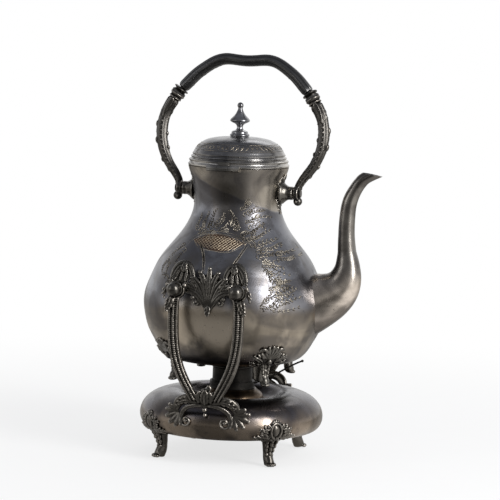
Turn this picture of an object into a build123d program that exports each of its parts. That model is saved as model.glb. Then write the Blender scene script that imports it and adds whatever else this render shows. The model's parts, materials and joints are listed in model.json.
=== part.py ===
"""Silver-plated kettle that tilts on a footed stand over a spirit burner, in millimetres.

+Z is up, +X points to the spout and -Y is the near side.  Everything is drawn about the kettle's
axis, which is the middle of the stand's four feet, and moved at the end, so that the origin is on
the ground under the middle of the whole object's outline.
"""
from build123d import *
from math import cos, hypot, pi, radians, sin
import os

os.makedirs("parts", exist_ok=True)

# Sheet metal and running fits
WALL = 1.4
RUN = 0.05

# Kettle body: outer radius and height, from the flat floor to the mouth
KETTLE_PROFILE = [(45, 95), (58, 96), (66.5, 99), (73, 104.5), (80, 115.5), (85.4, 125.5), (89.2, 138.5),
                  (91, 153), (89.6, 164), (86.2, 173.6), (81.2, 185.5), (76.4, 195), (69.3, 205),
                  (61.2, 215), (53.6, 225), (47.9, 235), (44.3, 245), (43.2, 254), (44.2, 266),
                  (46.3, 278), (49.2, 285.5), (50.2, 289.5)]
KETTLE_MOUTH_Z = 289.5
KETTLE_SEAMS = {"floor": (95, 104.5), "bowl": (104.5, 153), "shoulder": (153, 235), "neck": (235, 289.5)}

# Spout: centre X and Z, half height in its plane, half width across it, and its heading above level;
# the last section lies back, so that the mouth opens upwards and ends in a beak
SPOUT_STATIONS = [(60, 146.5, 32.0, 25.0, 25.4), (80, 156.0, 28.5, 22.0, 26.9), (98, 165.8, 24.8, 18.8, 32.5),
                  (107.5, 173.5, 20.8, 16.4, 49.3), (113.2, 183.5, 16.6, 14.0, 71.1),
                  (115.2, 196, 12.4, 11.4, 88.3), (114, 210.5, 9.2, 9.0, 94.2), (112.9, 227, 8.2, 8.1, 91.1),
                  (113.3, 246, 7.8, 7.7, 85.1), (115.9, 262, 7.4, 7.3, 75.7), (121.0, 272.8, 6.7, 7.0, 68.4),
                  (126.9, 280.9, 6.9, 6.8, 71.6), (137.2, 287.6, 10.3, 5.6, 81.4)]
SPOUT_WALL = 1.2
SPOUT_LIP_LIFT = (0.2, 1.2)
LIP_NOTCH = (130.2, 287.6, 2.2)

# Lid: outer radius and height, from the rim to the crown
LID_RIM_Z = 290.0
LID_PROFILE = [(45.0, 304.0), (42.4, 308.0), (38.4, 312.0), (33.2, 315.0), (27.0, 316.9), (18.0, 318.2)]
LID_TOP_Z = 319.0
LID_STEPS = [(50.4, 290.0, 296.2), (48.4, 296.2, 298.4), (46.8, 298.4, 301.2), (45.6, 301.2, 304.0)]
FLANGE_R, FLANGE_DEPTH, FLANGE_WALL, FLANGE_TUCK = 44.6, 8.0, 1.2, 5.0
CROWN_R = 6.0
FINIAL_PROFILE = [(9.6, 319.0), (9.6, 320.8), (8.2, 323.4), (4.2, 325.6), (2.9, 328.6), (4.6, 331.4),
                  (9.9, 334.2), (9.9, 335.6), (6.8, 339.0), (3.6, 343.2), (2.1, 347.6)]
FINIAL_BALL_R, FINIAL_BALL_Z = 3.1, 349.8
FINIAL_STUD_R, FINIAL_STUD_LENGTH, FINIAL_NUT_R, FINIAL_NUT_THICK = 1.5, 6.0, 3.6, 1.6

# Lid hinge, on the near side
HINGE_Y, HINGE_Z = -54.3, 290.0
KNUCKLE_R, HINGE_PIN_R = 2.9, 1.3
HINGE_LENGTH, CENTRE_KNUCKLE, KNUCKLE_GAP = 33.0, 11.0, 0.2
LEAF_ROOT_Y, LEAF_DROP, LEAF_CLEAR = -46.0, 0.1, 0.4

# Swing handle, in its own upright plane: half width and height of its centre line
HANDLE_PIVOT_Z = 265.0
HANDLE_LEAN = 9.0
GRIP_LINE = [(0, 394.0), (12, 395.6), (23, 396.6), (33, 394.0), (42, 388.2), (51.5, 380.4), (60.5, 371.0),
             (66.2, 365.2)]
GRIP_HALF = [5.9, 5.9, 6.1, 6.2, 6.2, 6.3, 6.5, 6.7]
ARM_LINE = [(72.6, 356.0), (77.2, 348.5), (81.9, 338.0), (84.0, 325.7), (83.2, 312.6), (79.8, 300.6),
            (74.2, 289.8), (67.2, 280.6), (62.2, 272.6), (60.8, 265.5)]
ARM_HALF = [6.9, 6.5, 6.5, 6.6, 6.4, 6.2, 5.8, 5.2, 4.6, 4.2]
JOINT_AT = (69.5, 360.7)
FERRULE_LENGTH, FERRULE_R, INSULATOR_THICK, INSULATOR_R = 4.6, 8.0, 1.8, 7.4
DOWEL_R, DOWEL_LENGTH = 2.4, 22.0
SOCKET_FACE_X, EYE_GAP, EYE_THICK, EYE_R = 57.4, 0.3, 5.6, 7.4
HANDLE_PIN_R, HANDLE_PIN_ROOT_X, PIN_HEAD_R, PIN_HEAD_THICK = 2.5, 50.0, 3.9, 1.6
CURL_AT, CURL_R = (62.4, 257.2), 4.6

# Trumpet stub that carries each pivot, radius and distance from the axis, and its leaf plate
STUB_LINE = [(11.5, 38), (10.5, 46), (8.2, 49), (6.4, 52.5), (6.2, 55), (6.8, SOCKET_FACE_X)]
LEAF_PLATE_THICK = 1.8
LEAF_PLATE = [(0, 0, 19, 10), (0, 8, 10, 12), (0, -18, 3.4, 3.4)]

# Kettle side castings and the trunnions that hang in the stand
TRUNNION_X, TRUNNION_Z, TRUNNION_R = 31.3, 175.0, 3.0
LUG_BACK, LUG_FRONT = 87.4, 93.8
PALMETTE_TIP_Z, PALMETTE_TOP_Z, PALMETTE_PETALS, PALMETTE_SPREAD = 149.0, 200.0, 7, 34.0
PETAL_WIDE, PALMETTE_BACK, PALMETTE_FRONT, LUG_EYE_R = 3.6, 76.0, 93.2, 6.6
LUG_ARM = [(7, 89, 176), (13.5, 90, 188), (19, 91, 196.4), (26, 91, 198.4), (32.4, 90.8, 192.5), (33.6, 90.6, 183.5),
           (TRUNNION_X, 90.6, 177)]
LUG_ARM_HALF = [(2.6, 4.2), (2.8, 4.6), (2.8, 4.4), (2.8, 4.2), (2.8, 4.0), (2.8, 4.0), (2.8, 4.0)]
BALL_R, BALL_Y, BALL_FLAT = 6.6, 104.6, 100.2
PIN_ROOT, COLLAR_BACK, COLLAR_R = 87.3, 85.6, 4.4

# Stand base: outer radius and height over the crest to the turned-in lip
BASE_PROFILE = [(38, 54), (44, 57), (50, 61.6), (57, 64), (68, 62.6), (80, 57), (88, 49.6), (91.8, 41.5),
                (90.4, 33.2), (85.6, 27.8), (78, 26)]
BASE_WALL, BASE_SEAM_Z = 1.6, 41.5
WELL_R, SEAT_Z, LIP_R, LIP_Z = 34.0, 54.0, 70.0, 26.0
PLATE_R, PLATE_THICK = 80.0, 1.2
STUD_AT, STUD_R, STUD_LOW, STUD_HIGH = 75.0, 1.8, 19.0, 33.0
NUT_R, NUT_THICK = 3.6, 2.6

# Paw feet: reach from the axis, height, half length outwards, half width
BASE_FOOT = [(79.5, 34, 9.5, 10), (76.8, 22, 6.8, 7.6), (76.6, 12, 4.8, 6.2), (79, 5, 7.0, 8.4),
             (79.6, -2, 6.4, 8.2)]
KETTLE_FOOT = [(63, 103, 7.5, 11), (64.2, 93, 4.4, 5.6), (64.6, 86, 4.2, 5.2), (65.6, 80, 5.6, 6.6),
               (66, 77, 5.2, 6.4)]
TOE_TURNS = (-38, 0, 38)
FOOT_TURNS = {"front_near": -45, "front_far": 45, "rear_far": 135, "rear_near": 225}

# Shells on the legs: height of the middle, half width, half height and thickness, and the toes' radius
KETTLE_SHELL, KETTLE_TOE_R = (109, 19, 12, 2.6), 2.3
BASE_SHELL, BASE_TOE_R = (38.5, 15.5, 12, 3.0), 3.0

# Brackets: half width, distance from the middle plane and height of one arm's centre line
ARM_PATH = [(9.5, 92.6, 65), (17.2, 94.4, 78.5), (23.6, 95.8, 91), (28.6, 96.8, 105), (31.6, 97.1, 120),
            (32.8, 97.1, 136), (33.0, 97.1, 150), (32.6, 97.1, 160), (31.6, 97.1, 168.5)]
ARM_WIDE = [4.6, 5.2, 5.6, 5.7, 5.7, 5.7, 5.7, 5.4, 4.8]
BRACKET_THICK, CRADLE_R = 5.0, 9.6
REED_R, REED_PITCH, REED_OUT, ARM_HALF_THICK = 1.6, 3.1, 1.3, 1.9
BRACKET_IN, ARM_BACK, ARM_TOP_Z = 94.6, 91.4, 220.0
CRADLE_SPLAY, CRADLE_MOUTH, CRADLE_CROWN = 1.6, 14.0, (15.5, 17.0, 22.0)

# Ornament of the brackets, as leaves (across, height, half length, half width, lean)
HOOK_LEAF = (TRUNNION_X + 9.4, TRUNNION_Z + 1, 9, 4.2, -8)
PENDANT_LEAF = (TRUNNION_X + 2.5, 158, 8.5, 3.6, 10)
CENTRE_LEAVES = [(0, 70, 11, 8, 0), (0, 55, 12, 10, 0), (9, 62, 9, 4.4, 42)]
CENTRE_BACK, CENTRE_FRONT = 88.0, 93.6
APRON_LEAVES = [(0, 50, 11, 10, 0), (13, 52, 10, 6, 40)]
APRON_THICK = 4.0
VOLUTE_AT, VOLUTE_R, VOLUTE_DISC_R, VOLUTE_BACK, VOLUTE_FRONT = (20.5, 46), 4.4, 6.4, 84.0, 94.6
FAN_AT, FAN_RIBS, FAN_FIRST, FAN_STEP, FAN_REACH, FAN_RIB_WIDE = (28, 50), 5, 38, 26, 13.0, 3.5
DROPS = [(94.4, 58, 2.6), (94.2, 52.4, 2.1)]
SCREW_X, SCREW_Z, SCREW_R, SCREW_NUT_R = 20.5, 46.0, 1.5, 3.2
SCREW_FROM, SCREW_TO, SCREW_NUT_TO = 79.0, 91.6, 89.0

# Burner
BURNER_R, SHOULDER_Z, CHIMNEY_TOP, CHIMNEY_R = 31.8, 66.5, 90.0, 20.0
BURNER_TOP = [(BURNER_R, 57), (30.6, 60.5), (27.4, 63.8), (24, SHOULDER_Z)]
TANK_WALL, TANK_ROOF, TANK_NECK_R = 1.2, 63.5, 25.0
WELL_FLOOR, WELL_WALL, WELL_FLANGE_R, WELL_GAP = 30.0, 1.2, 37.6, 0.2
CHIMNEY_FOOT, CHIMNEY_ROLL = (2.8, 1.6), (0.9, 2.4)
WICK_TUBE_R, WICK_R, WICK_TOP, WICK_LOW, TUBE_LOW, TUBE_FLANGE_R = 6.6, 5.6, 84.0, 36.0, 44.0, 10.0
COLLAR_WALL, COLLAR_TALL, COLLAR_LIFT = 2.4, 5.6, 1.7
REGULATOR_TURN = 19.0
LEVER_PATH = [(21.6, 71.0), (34, 75.6), (52, 85.6), (70, 94.6)]
LEVER_R, LEVER_KNOB_R, LEVER_ROOT = 0.9, 1.4, 1.2

nodes = {}


def inset(points, distance):
    """Outline moved square to itself, to the left of its run."""
    moved = []
    for i, (r, z) in enumerate(points):
        r0, z0 = points[max(i - 1, 0)]
        r1, z1 = points[min(i + 1, len(points) - 1)]
        length = hypot(r1 - r0, z1 - z0)
        moved.append((r - distance * (z1 - z0) / length, z + distance * (r1 - r0) / length))
    return moved


def curve(points):
    """Smooth curve in the XZ plane."""
    return Spline(*[(r, 0, z) for r, z in points])


def line(points):
    """Straight runs in the XZ plane."""
    return Polyline(*[(r, 0, z) for r, z in points])


def turned(points):
    """Solid of revolution about Z under a smooth outline."""
    (r0, z0), (r1, z1) = points[0], points[-1]
    return revolve(make_face([curve(points), line([(r1, z1), (0, z1), (0, z0), (r0, z0)])]), Axis.Z)


def disc(radius, z_low, z_high):
    """Plain disc about Z."""
    return Pos(0, 0, (z_low + z_high) / 2) * Cylinder(radius, z_high - z_low)


def ring(r_in, r_out, z_low, z_high):
    """Plain ring about Z."""
    return disc(r_out, z_low, z_high) - disc(r_in, z_low, z_high)


def oval(plane, half_x, half_y):
    """Smooth closed oval on a plane, always begun at the same side."""
    turns = [2 * pi * i / 8 for i in range(8)]
    rim = Spline(*[(half_x * cos(t), half_y * sin(t)) for t in turns], periodic=True)
    return plane * make_face(rim)


def along(points, halves, side=(0, 1, 0), headings=None):
    """Loft of ovals along a path, square to it or to headings: halves are (along side, across side)."""
    sections = []
    for i, point in enumerate(points):
        run = Vector(points[min(i + 1, len(points) - 1)]) - Vector(points[max(i - 1, 0)])
        if headings:
            run = Vector(cos(radians(headings[i])), 0, sin(radians(headings[i])))
        sections.append(oval(Plane(origin=point, x_dir=side, z_dir=run), *halves[i]))
    return loft(sections)


def rod(start, end, radius):
    """Round bar between two points."""
    run = Vector(end) - Vector(start)
    middle = (Vector(start) + Vector(end)) / 2
    return Plane(origin=middle, z_dir=run) * Cylinder(radius, run.length)


def near_prism(sketch, y_from, y_to):
    """Sketch drawn in X and Z, made a block between two distances on the near side."""
    face = Plane(origin=(0, -y_from, 0), x_dir=(1, 0, 0), z_dir=(0, -1, 0)) * sketch
    return extrude(face, y_to - y_from)


def front_prism(sketch, x_from, x_to):
    """Sketch drawn in Y and Z, made a block between two distances on the spout's side."""
    face = Plane(origin=(x_from, 0, 0), x_dir=(0, 1, 0), z_dir=(1, 0, 0)) * sketch
    return extrude(face, x_to - x_from)


def both_sides(name, near):
    """The near piece and its mirror image on the far side."""
    nodes[f"{name}_near"] = near
    nodes[f"{name}_far"] = mirror(near, about=Plane.XZ)


def petal(x, z, half_long, half_wide, lean):
    """Oval leaf outline in X and Z, leaning from upright."""
    return Pos(x, z) * Rot(0, 0, -lean) * Ellipse(half_wide, half_long)


def pair(x, z, half_long, half_wide, lean):
    """A leaf and its mirror image about the middle."""
    return petal(x, z, half_long, half_wide, lean) + petal(-x, z, half_long, half_wide, -lean)


def kettle():
    """Pear-shaped body in four soldered parts, with its spout."""
    solid = turned(KETTLE_PROFILE)
    cavity_line = inset(KETTLE_PROFILE, WALL)
    cavity_line[-1] = (KETTLE_PROFILE[-1][0] - WALL, KETTLE_MOUTH_Z + WALL)
    cavity = turned([(r, max(z, KETTLE_PROFILE[0][1] + WALL)) for r, z in cavity_line])
    path = [(x, 0, z) for x, z, tall, wide, heading in SPOUT_STATIONS]
    halves = [(wide, tall) for x, z, tall, wide, heading in SPOUT_STATIONS]
    headings = [row[-1] for row in SPOUT_STATIONS]
    outside = along(path, halves, headings=headings)
    bore_end = Vector(path[-1]) + Vector(SPOUT_LIP_LIFT[0], 0, SPOUT_LIP_LIFT[1])
    bore = along(path[:-1] + [bore_end], [(wide - SPOUT_WALL, tall - SPOUT_WALL) for wide, tall in halves],
                 headings=headings)
    x, z, r = LIP_NOTCH
    notch = rod((x, -SPOUT_STATIONS[0][2], z), (x, SPOUT_STATIONS[0][2], z), r)
    nodes["spout"] = outside - bore - solid - notch
    wall = solid - cavity - bore
    widest = max(r for r, z in KETTLE_PROFILE)
    for name, (low, high) in KETTLE_SEAMS.items():
        nodes[f"kettle_{name}"] = wall & disc(widest + WALL, low, high)
    return solid


def lid():
    """Domed lid with its stepped rim, flange, knob and nut."""
    inner = LID_STEPS[-1][0] - WALL
    shell = turned(LID_PROFILE + [(CROWN_R, LID_TOP_Z)])
    for r, low, high in LID_STEPS:
        shell += disc(r, low, high)
    hollow_line = inset(LID_PROFILE, WALL)
    hollow_line[0] = (hollow_line[0][0], LID_STEPS[-1][1])
    hollow = turned(hollow_line + [(CROWN_R, LID_TOP_Z - WALL)]) + disc(inner, LID_RIM_Z, LID_STEPS[-1][1])
    stud = disc(FINIAL_STUD_R, LID_TOP_Z - FINIAL_STUD_LENGTH, LID_TOP_Z)
    nodes["lid_shell"] = shell - hollow - stud
    nodes["lid_flange"] = (ring(FLANGE_R - FLANGE_WALL, FLANGE_R, LID_RIM_Z - FLANGE_DEPTH, LID_RIM_Z)
                           + ring(FLANGE_R - FLANGE_WALL, inner, LID_RIM_Z, LID_RIM_Z + FLANGE_TUCK))
    nodes["finial"] = turned(FINIAL_PROFILE) + Pos(0, 0, FINIAL_BALL_Z) * Sphere(FINIAL_BALL_R) + stud
    nut = Pos(0, 0, LID_TOP_Z - WALL - FINIAL_NUT_THICK) * extrude(RegularPolygon(FINIAL_NUT_R, 6), FINIAL_NUT_THICK)
    nodes["finial_nut"] = nut - stud


def hinge(kettle_solid):
    """Three knuckles on one pin, the middle one on the lid."""
    half, centre = HINGE_LENGTH / 2, CENTRE_KNUCKLE / 2
    lid_solid = disc(LID_STEPS[0][0], LID_RIM_Z, LID_STEPS[0][2])

    def bar(x0, x1, radius):
        return rod((x0, HINGE_Y, HINGE_Z), (x1, HINGE_Y, HINGE_Z), radius)

    def leaf(x0, x1, low, high, wall):
        depth = LEAF_ROOT_Y - HINGE_Y
        middle = Pos((x0 + x1) / 2, HINGE_Y + depth / 2, (low + high) / 2)
        return middle * Box(x1 - x0, depth, high - low) - wall - bar(x0, x1, HINGE_PIN_R + 2 * RUN)

    kettle_side = Part()
    for x0, x1 in ((-half, -centre - KNUCKLE_GAP), (centre + KNUCKLE_GAP, half)):
        kettle_side += bar(x0, x1, KNUCKLE_R) - bar(x0, x1, HINGE_PIN_R)
        kettle_side += leaf(x0, x1, HINGE_Z - KNUCKLE_R, HINGE_Z - LEAF_DROP, kettle_solid)
    nodes["hinge_leaf_kettle"] = kettle_side
    nodes["hinge_leaf_lid"] = (bar(-centre, centre, KNUCKLE_R) - bar(-centre, centre, HINGE_PIN_R + RUN)
                               + leaf(-centre, centre, HINGE_Z + LEAF_CLEAR, LID_STEPS[0][2], lid_solid))
    nodes["hinge_pin"] = bar(-half, half, HINGE_PIN_R)


def lean_back(shape):
    """The handle's own plane, leant to the far side about its pivots."""
    return shape.rotate(Axis((0, 0, HANDLE_PIVOT_Z), (1, 0, 0)), -HANDLE_LEAN)


def handle_end(name, side, grip):
    """One cast arm with its heat break, dowel and pivot pin, and the grip cut to meet them."""
    at = Vector(side * JOINT_AT[0], 0, JOINT_AT[1])
    run = Vector(side * (ARM_LINE[0][0] - GRIP_LINE[-1][0]), 0, ARM_LINE[0][1] - GRIP_LINE[-1][1]).normalized()
    half, far = INSULATOR_THICK / 2, DOWEL_LENGTH
    seat = half + FERRULE_LENGTH

    def level(x0, x1, radius):
        return rod((side * x0, 0, HANDLE_PIVOT_Z), (side * x1, 0, HANDLE_PIVOT_Z), radius)

    def collar(low, high, radius):
        return rod(at + run * low, at + run * high, radius)

    dowel = collar(-DOWEL_LENGTH / 2, DOWEL_LENGTH / 2, DOWEL_R)
    eye_face, eye_out = SOCKET_FACE_X + EYE_GAP, SOCKET_FACE_X + EYE_GAP + EYE_THICK
    arm = along([(side * x, 0, z) for x, z in ARM_LINE], [(h, h) for h in ARM_HALF]) - collar(-far, seat, FERRULE_R)
    arm += collar(half, seat, FERRULE_R) + level(eye_face, eye_out, EYE_R)
    arm += Pos(side * CURL_AT[0], 0, CURL_AT[1]) * Sphere(CURL_R)
    arm -= level(0, eye_face, 2 * EYE_R) + level(eye_face, eye_out, HANDLE_PIN_R + RUN)
    arm -= level(eye_out, ARM_LINE[0][0], PIN_HEAD_R + EYE_GAP) + dowel
    nodes[f"handle_arm_{name}"] = lean_back(arm)
    nodes[f"handle_ferrule_{name}"] = lean_back(collar(-seat, -half, FERRULE_R) - dowel)
    nodes[f"insulator_{name}"] = lean_back(collar(-half, half, INSULATOR_R) - dowel)
    nodes[f"handle_dowel_{name}"] = lean_back(dowel)
    nodes[f"handle_pin_{name}"] = (level(HANDLE_PIN_ROOT_X, eye_out + KNUCKLE_GAP, HANDLE_PIN_R)
                                   + level(eye_out + KNUCKLE_GAP, eye_out + KNUCKLE_GAP + PIN_HEAD_THICK, PIN_HEAD_R))
    return grip - collar(-seat, far, 2 * FERRULE_R) - dowel


def handle():
    """Swing handle: a grip and two cast arms with heat breaks between them."""
    left = [(-x, z) for x, z in reversed(GRIP_LINE[1:])]
    halves = GRIP_HALF[:0:-1] + GRIP_HALF
    grip = along([(x, 0, z) for x, z in left + GRIP_LINE], [(h, h) for h in halves])
    for name, side in (("front", 1), ("rear", -1)):
        grip = handle_end(name, side, grip)
    nodes["handle_grip"] = lean_back(grip)


def handle_sockets(kettle_solid):
    """Leaf plates on the neck, each with a trumpet stub for the handle's pivot."""
    skin = turned(inset(KETTLE_PROFILE, -LEAF_PLATE_THICK)) - kettle_solid
    root_x = STUB_LINE[0][1]
    outline = [(x, 0, r) for r, x in STUB_LINE]
    face = make_face([Spline(*outline), Polyline(outline[-1], (SOCKET_FACE_X, 0, 0), (root_x, 0, 0), outline[0])])
    stub = Pos(0, 0, HANDLE_PIVOT_Z) * revolve(face, Axis.X)
    leaf = Sketch()
    for y, rise, half_long, half_wide in LEAF_PLATE:
        leaf += petal(y, HANDLE_PIVOT_Z + rise, half_long, half_wide, 0)
    blind = rod((HANDLE_PIN_ROOT_X, 0, HANDLE_PIVOT_Z), (SOCKET_FACE_X, 0, HANDLE_PIVOT_Z), HANDLE_PIN_R)
    socket = (skin & front_prism(leaf, root_x, SOCKET_FACE_X)) + (stub - kettle_solid) - blind
    nodes["handle_socket_front"] = socket
    nodes["handle_socket_rear"] = mirror(socket, about=Plane.YZ)


def paw_foot(stations, sole_z, toe_r):
    """Leg that narrows to an ankle and spreads into a paw with three toes, pointing along +X."""
    leg = loft([oval(Plane.XY.offset(z) * Pos(x, 0), half_x, half_y) for x, z, half_x, half_y in stations])
    x, z, half_x, half_y = stations[-1]
    for turn in TOE_TURNS:
        toe = Pos(x + half_x * cos(radians(turn)), half_y * sin(radians(turn)), sole_z + toe_r * 0.75)
        leg += toe * Sphere(toe_r)
    return leg - disc(2 * x, sole_z - 2 * x, sole_z)


def shell_leaf(skin, z, half_wide, half_tall):
    """Three-lobed shell and two side leaves, cut from a skin that hugs the body, facing +X."""
    outline = petal(0, z, half_tall, half_wide * 0.42, 0)
    outline += pair(half_wide * 0.42, z + half_tall * 0.1, half_tall * 0.8, half_wide * 0.3, 35)
    outline += pair(half_wide * 0.7, z + half_tall * 0.25, half_tall * 0.42, half_wide * 0.32, 60)
    return skin & front_prism(outline, STUB_LINE[0][1], TRUNNION_Z)


def feet(kettle_solid, base_solid):
    """Four paw feet under the kettle and four under the stand, with the stand's studs and nuts."""
    z, half_wide, half_tall, thick = KETTLE_SHELL
    kettle_foot = paw_foot(KETTLE_FOOT, KETTLE_FOOT[-1][1], KETTLE_TOE_R) - kettle_solid
    kettle_foot += shell_leaf(turned(inset(KETTLE_PROFILE, -thick)) - kettle_solid, z, half_wide, half_tall)
    z, half_wide, half_tall, thick = BASE_SHELL
    base_foot = paw_foot(BASE_FOOT, 0, BASE_TOE_R) - base_solid
    base_foot += shell_leaf(turned(inset(BASE_PROFILE, thick)) - base_solid, z, half_wide, half_tall)
    stud = rod((STUD_AT, 0, STUD_LOW), (STUD_AT, 0, STUD_HIGH), STUD_R)
    nut_low = LIP_Z + BASE_WALL + PLATE_THICK
    nut = Pos(STUD_AT, 0, nut_low) * extrude(RegularPolygon(NUT_R, 6), NUT_THICK) - stud
    studs, nuts = Part(), Part()
    for name, turn in FOOT_TURNS.items():
        nodes[f"kettle_foot_{name}"] = Rot(0, 0, turn) * kettle_foot
        nodes[f"base_foot_{name}"] = Rot(0, 0, turn) * (base_foot - stud)
        studs += Rot(0, 0, turn) * stud
        nuts += Rot(0, 0, turn) * nut
    nodes["base_foot_studs"] = studs
    nodes["base_foot_nuts"] = nuts


def lugs(kettle_solid):
    """Cast palmettes on the kettle's sides, whose arched arms end in the trunnion eyes."""
    fan, tall = Sketch(), PALMETTE_TOP_Z - PALMETTE_TIP_Z
    for i in range(PALMETTE_PETALS):
        share = 2 * i / (PALMETTE_PETALS - 1) - 1
        length, lean = tall * (1 - 0.22 * abs(share)), share * PALMETTE_SPREAD
        reach = length * 0.52
        fan += petal(reach * sin(radians(lean)), PALMETTE_TIP_Z + reach * cos(radians(lean)), length * 0.48,
                     PETAL_WIDE, lean)
    lug = near_prism(fan, PALMETTE_BACK, PALMETTE_FRONT)
    for side in (-1, 1):
        lug += along([(side * x, -y, z) for x, y, z in LUG_ARM], LUG_ARM_HALF)
        eye = Pos(side * TRUNNION_X, TRUNNION_Z) * Circle(LUG_EYE_R)
        lug += near_prism(eye, LUG_BACK, LUG_FRONT)
    # The castings are the outer piece that the body's surface cuts off
    lug = min((lug - kettle_solid).solids(), key=lambda solid: solid.bounding_box().min.Y)
    for name, side, play in (("front", 1, RUN), ("rear", -1, 0)):
        def pin(y_from, y_to, radius):
            return rod((side * TRUNNION_X, -y_from, TRUNNION_Z), (side * TRUNNION_X, -y_to, TRUNNION_Z), radius)
        lug -= pin(COLLAR_BACK, BALL_Y, TRUNNION_R + play)
        knob = Pos(side * TRUNNION_X, -BALL_Y, TRUNNION_Z) * Sphere(BALL_R)
        both_sides(f"trunnion_{name}", pin(PIN_ROOT, BALL_Y, TRUNNION_R) + pin(COLLAR_BACK, PIN_ROOT, COLLAR_R)
                   + (knob & pin(BALL_FLAT, BALL_Y + BALL_R, BALL_R)))
    both_sides("lug", lug)


def base(hardware):
    """Hollow pillow-shaped base in two soldered halves, its bottom plate, and the well for the burner."""
    inner = inset(BASE_PROFILE, -BASE_WALL)
    inner[0] = (BASE_PROFILE[0][0], SEAT_Z - BASE_WALL)
    inner[-1] = (BASE_PROFILE[-1][0], LIP_Z + BASE_WALL)
    seat = line([(BASE_PROFILE[0][0], SEAT_Z), (WELL_R, SEAT_Z), (WELL_R, SEAT_Z - BASE_WALL), inner[0]])
    lip = line([(BASE_PROFILE[-1][0], LIP_Z), (LIP_R, LIP_Z), (LIP_R, LIP_Z + BASE_WALL), inner[-1]])
    shell = revolve(make_face([curve(BASE_PROFILE), seat, curve(inner), lip]), Axis.Z) - hardware
    widest, top = max(r for r, z in BASE_PROFILE), max(z for r, z in BASE_PROFILE)
    nodes["base_top"] = shell & disc(widest + WALL, BASE_SEAM_Z, top + WALL)
    nodes["base_rim"] = shell & disc(widest + WALL, LIP_Z - WALL, BASE_SEAM_Z)
    plate_low = LIP_Z + BASE_WALL
    nodes["base_bottom_plate"] = disc(PLATE_R, plate_low, plate_low + PLATE_THICK) - hardware
    well_bore = BURNER_R + WELL_GAP
    nodes["burner_well"] = (ring(well_bore, WELL_R - 2 * RUN, WELL_FLOOR, SEAT_Z + WELL_WALL)
                            + disc(WELL_R - 2 * RUN, WELL_FLOOR, WELL_FLOOR + WELL_WALL)
                            + ring(well_bore, WELL_FLANGE_R, SEAT_Z, SEAT_Z + WELL_WALL))
    return shell


def bracket_arm(side):
    """One reeded arm with its open cradle, hook and leaf pendant."""
    path = [(side * x, -y, z) for x, y, z in ARM_PATH]
    arm = along(path, [(ARM_HALF_THICK, wide) for wide in ARM_WIDE])
    for reed in (-REED_PITCH, 0, REED_PITCH):
        reed_line = [(x + reed, y - REED_OUT, z) for x, y, z in path[:-1]]
        arm += along(reed_line, [(REED_R, REED_R)] * len(reed_line))
    front = BRACKET_IN + BRACKET_THICK
    at = Pos(side * TRUNNION_X, TRUNNION_Z)
    grip_r, rise = TRUNNION_R + RUN, CRADLE_MOUTH
    mouth = [(-grip_r, 0), (grip_r, 0), (TRUNNION_R + CRADLE_SPLAY, rise), (-TRUNNION_R - CRADLE_SPLAY, rise)]
    crown_z, crown_wide, crown_tall = CRADLE_CROWN
    slot = at * (Circle(grip_r) + make_face(Polyline(*mouth, close=True)))
    crown = at * Pos(0, crown_z) * Rectangle(crown_wide, crown_tall)
    x, *hook = HOOK_LEAF
    outline = at * Circle(CRADLE_R) - crown + petal(side * x, *hook[:3], side * hook[3])
    x, *leaf = PENDANT_LEAF
    arm += near_prism(outline, BRACKET_IN, front) + near_prism(petal(side * x, *leaf[:3], side * leaf[3]),
                                                               BRACKET_IN, front)
    arm -= near_prism(slot, CENTRE_BACK, front + CURL_R)
    behind = Pos(0, (TRUNNION_Z + ARM_TOP_Z) / 2) * Rectangle(ARM_TOP_Z, ARM_TOP_Z - TRUNNION_Z)
    return arm - near_prism(behind, STUD_AT, ARM_BACK)


def brackets(base_solid, hardware):
    """Two U-shaped side frames with open cradles, clasping the base with scrolls and shells."""
    frame = bracket_arm(-1) + bracket_arm(1)
    centre, apron = Sketch(), Sketch()
    for leaf in CENTRE_LEAVES:
        centre += pair(*leaf)
    for leaf in APRON_LEAVES:
        apron += pair(*leaf)
    x, z = VOLUTE_AT
    volutes = Part()
    for side in (-1, 1):
        apron += Pos(side * x, z) * Circle(VOLUTE_DISC_R)
        volutes += rod((side * x, -VOLUTE_BACK, z), (side * x, -VOLUTE_FRONT, z), VOLUTE_R)
    for i in range(FAN_RIBS):
        lean, reach = FAN_FIRST + i * FAN_STEP, FAN_REACH - 0.9 * abs(i - FAN_RIBS // 2)
        apron += pair(FAN_AT[0] + reach / 2 * sin(radians(lean)), FAN_AT[1] + reach / 2 * cos(radians(lean)),
                      reach * 0.62, FAN_RIB_WIDE, lean)
    hug = (turned(inset(BASE_PROFILE, APRON_THICK)) - base_solid) & near_prism(apron, STUD_AT, TRUNNION_Z)
    drops = Part()
    for y, z, r in DROPS:
        drops += Pos(0, -y, z) * Sphere(r)
    bracket = frame + near_prism(centre, CENTRE_BACK, CENTRE_FRONT) + hug + drops + volutes
    both_sides("bracket", bracket - base_solid)
    for name in ("bracket_near", "bracket_far"):
        nodes[name] = nodes[name] - hardware


def bracket_screws():
    """Screws from inside the base into each bracket."""
    screws = Part()
    for side_y in (-1, 1):
        for x in (-SCREW_X, SCREW_X):
            screws += rod((x, side_y * SCREW_FROM, SCREW_Z), (x, side_y * SCREW_TO, SCREW_Z), SCREW_R)
    nodes["bracket_screws"] = screws
    return screws


def bracket_nuts(screws, base_solid, base_shell):
    """Nuts on the screws, each shaped to the inside of the base's wall."""
    nuts = Part()
    for side_y in (-1, 1):
        for x in (-SCREW_X, SCREW_X):
            nut = rod((x, side_y * (SCREW_FROM + 2), SCREW_Z), (x, side_y * SCREW_NUT_TO, SCREW_Z), SCREW_NUT_R)
            nuts += (nut & base_solid) - base_shell - screws
    nodes["bracket_nuts"] = nuts


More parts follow.
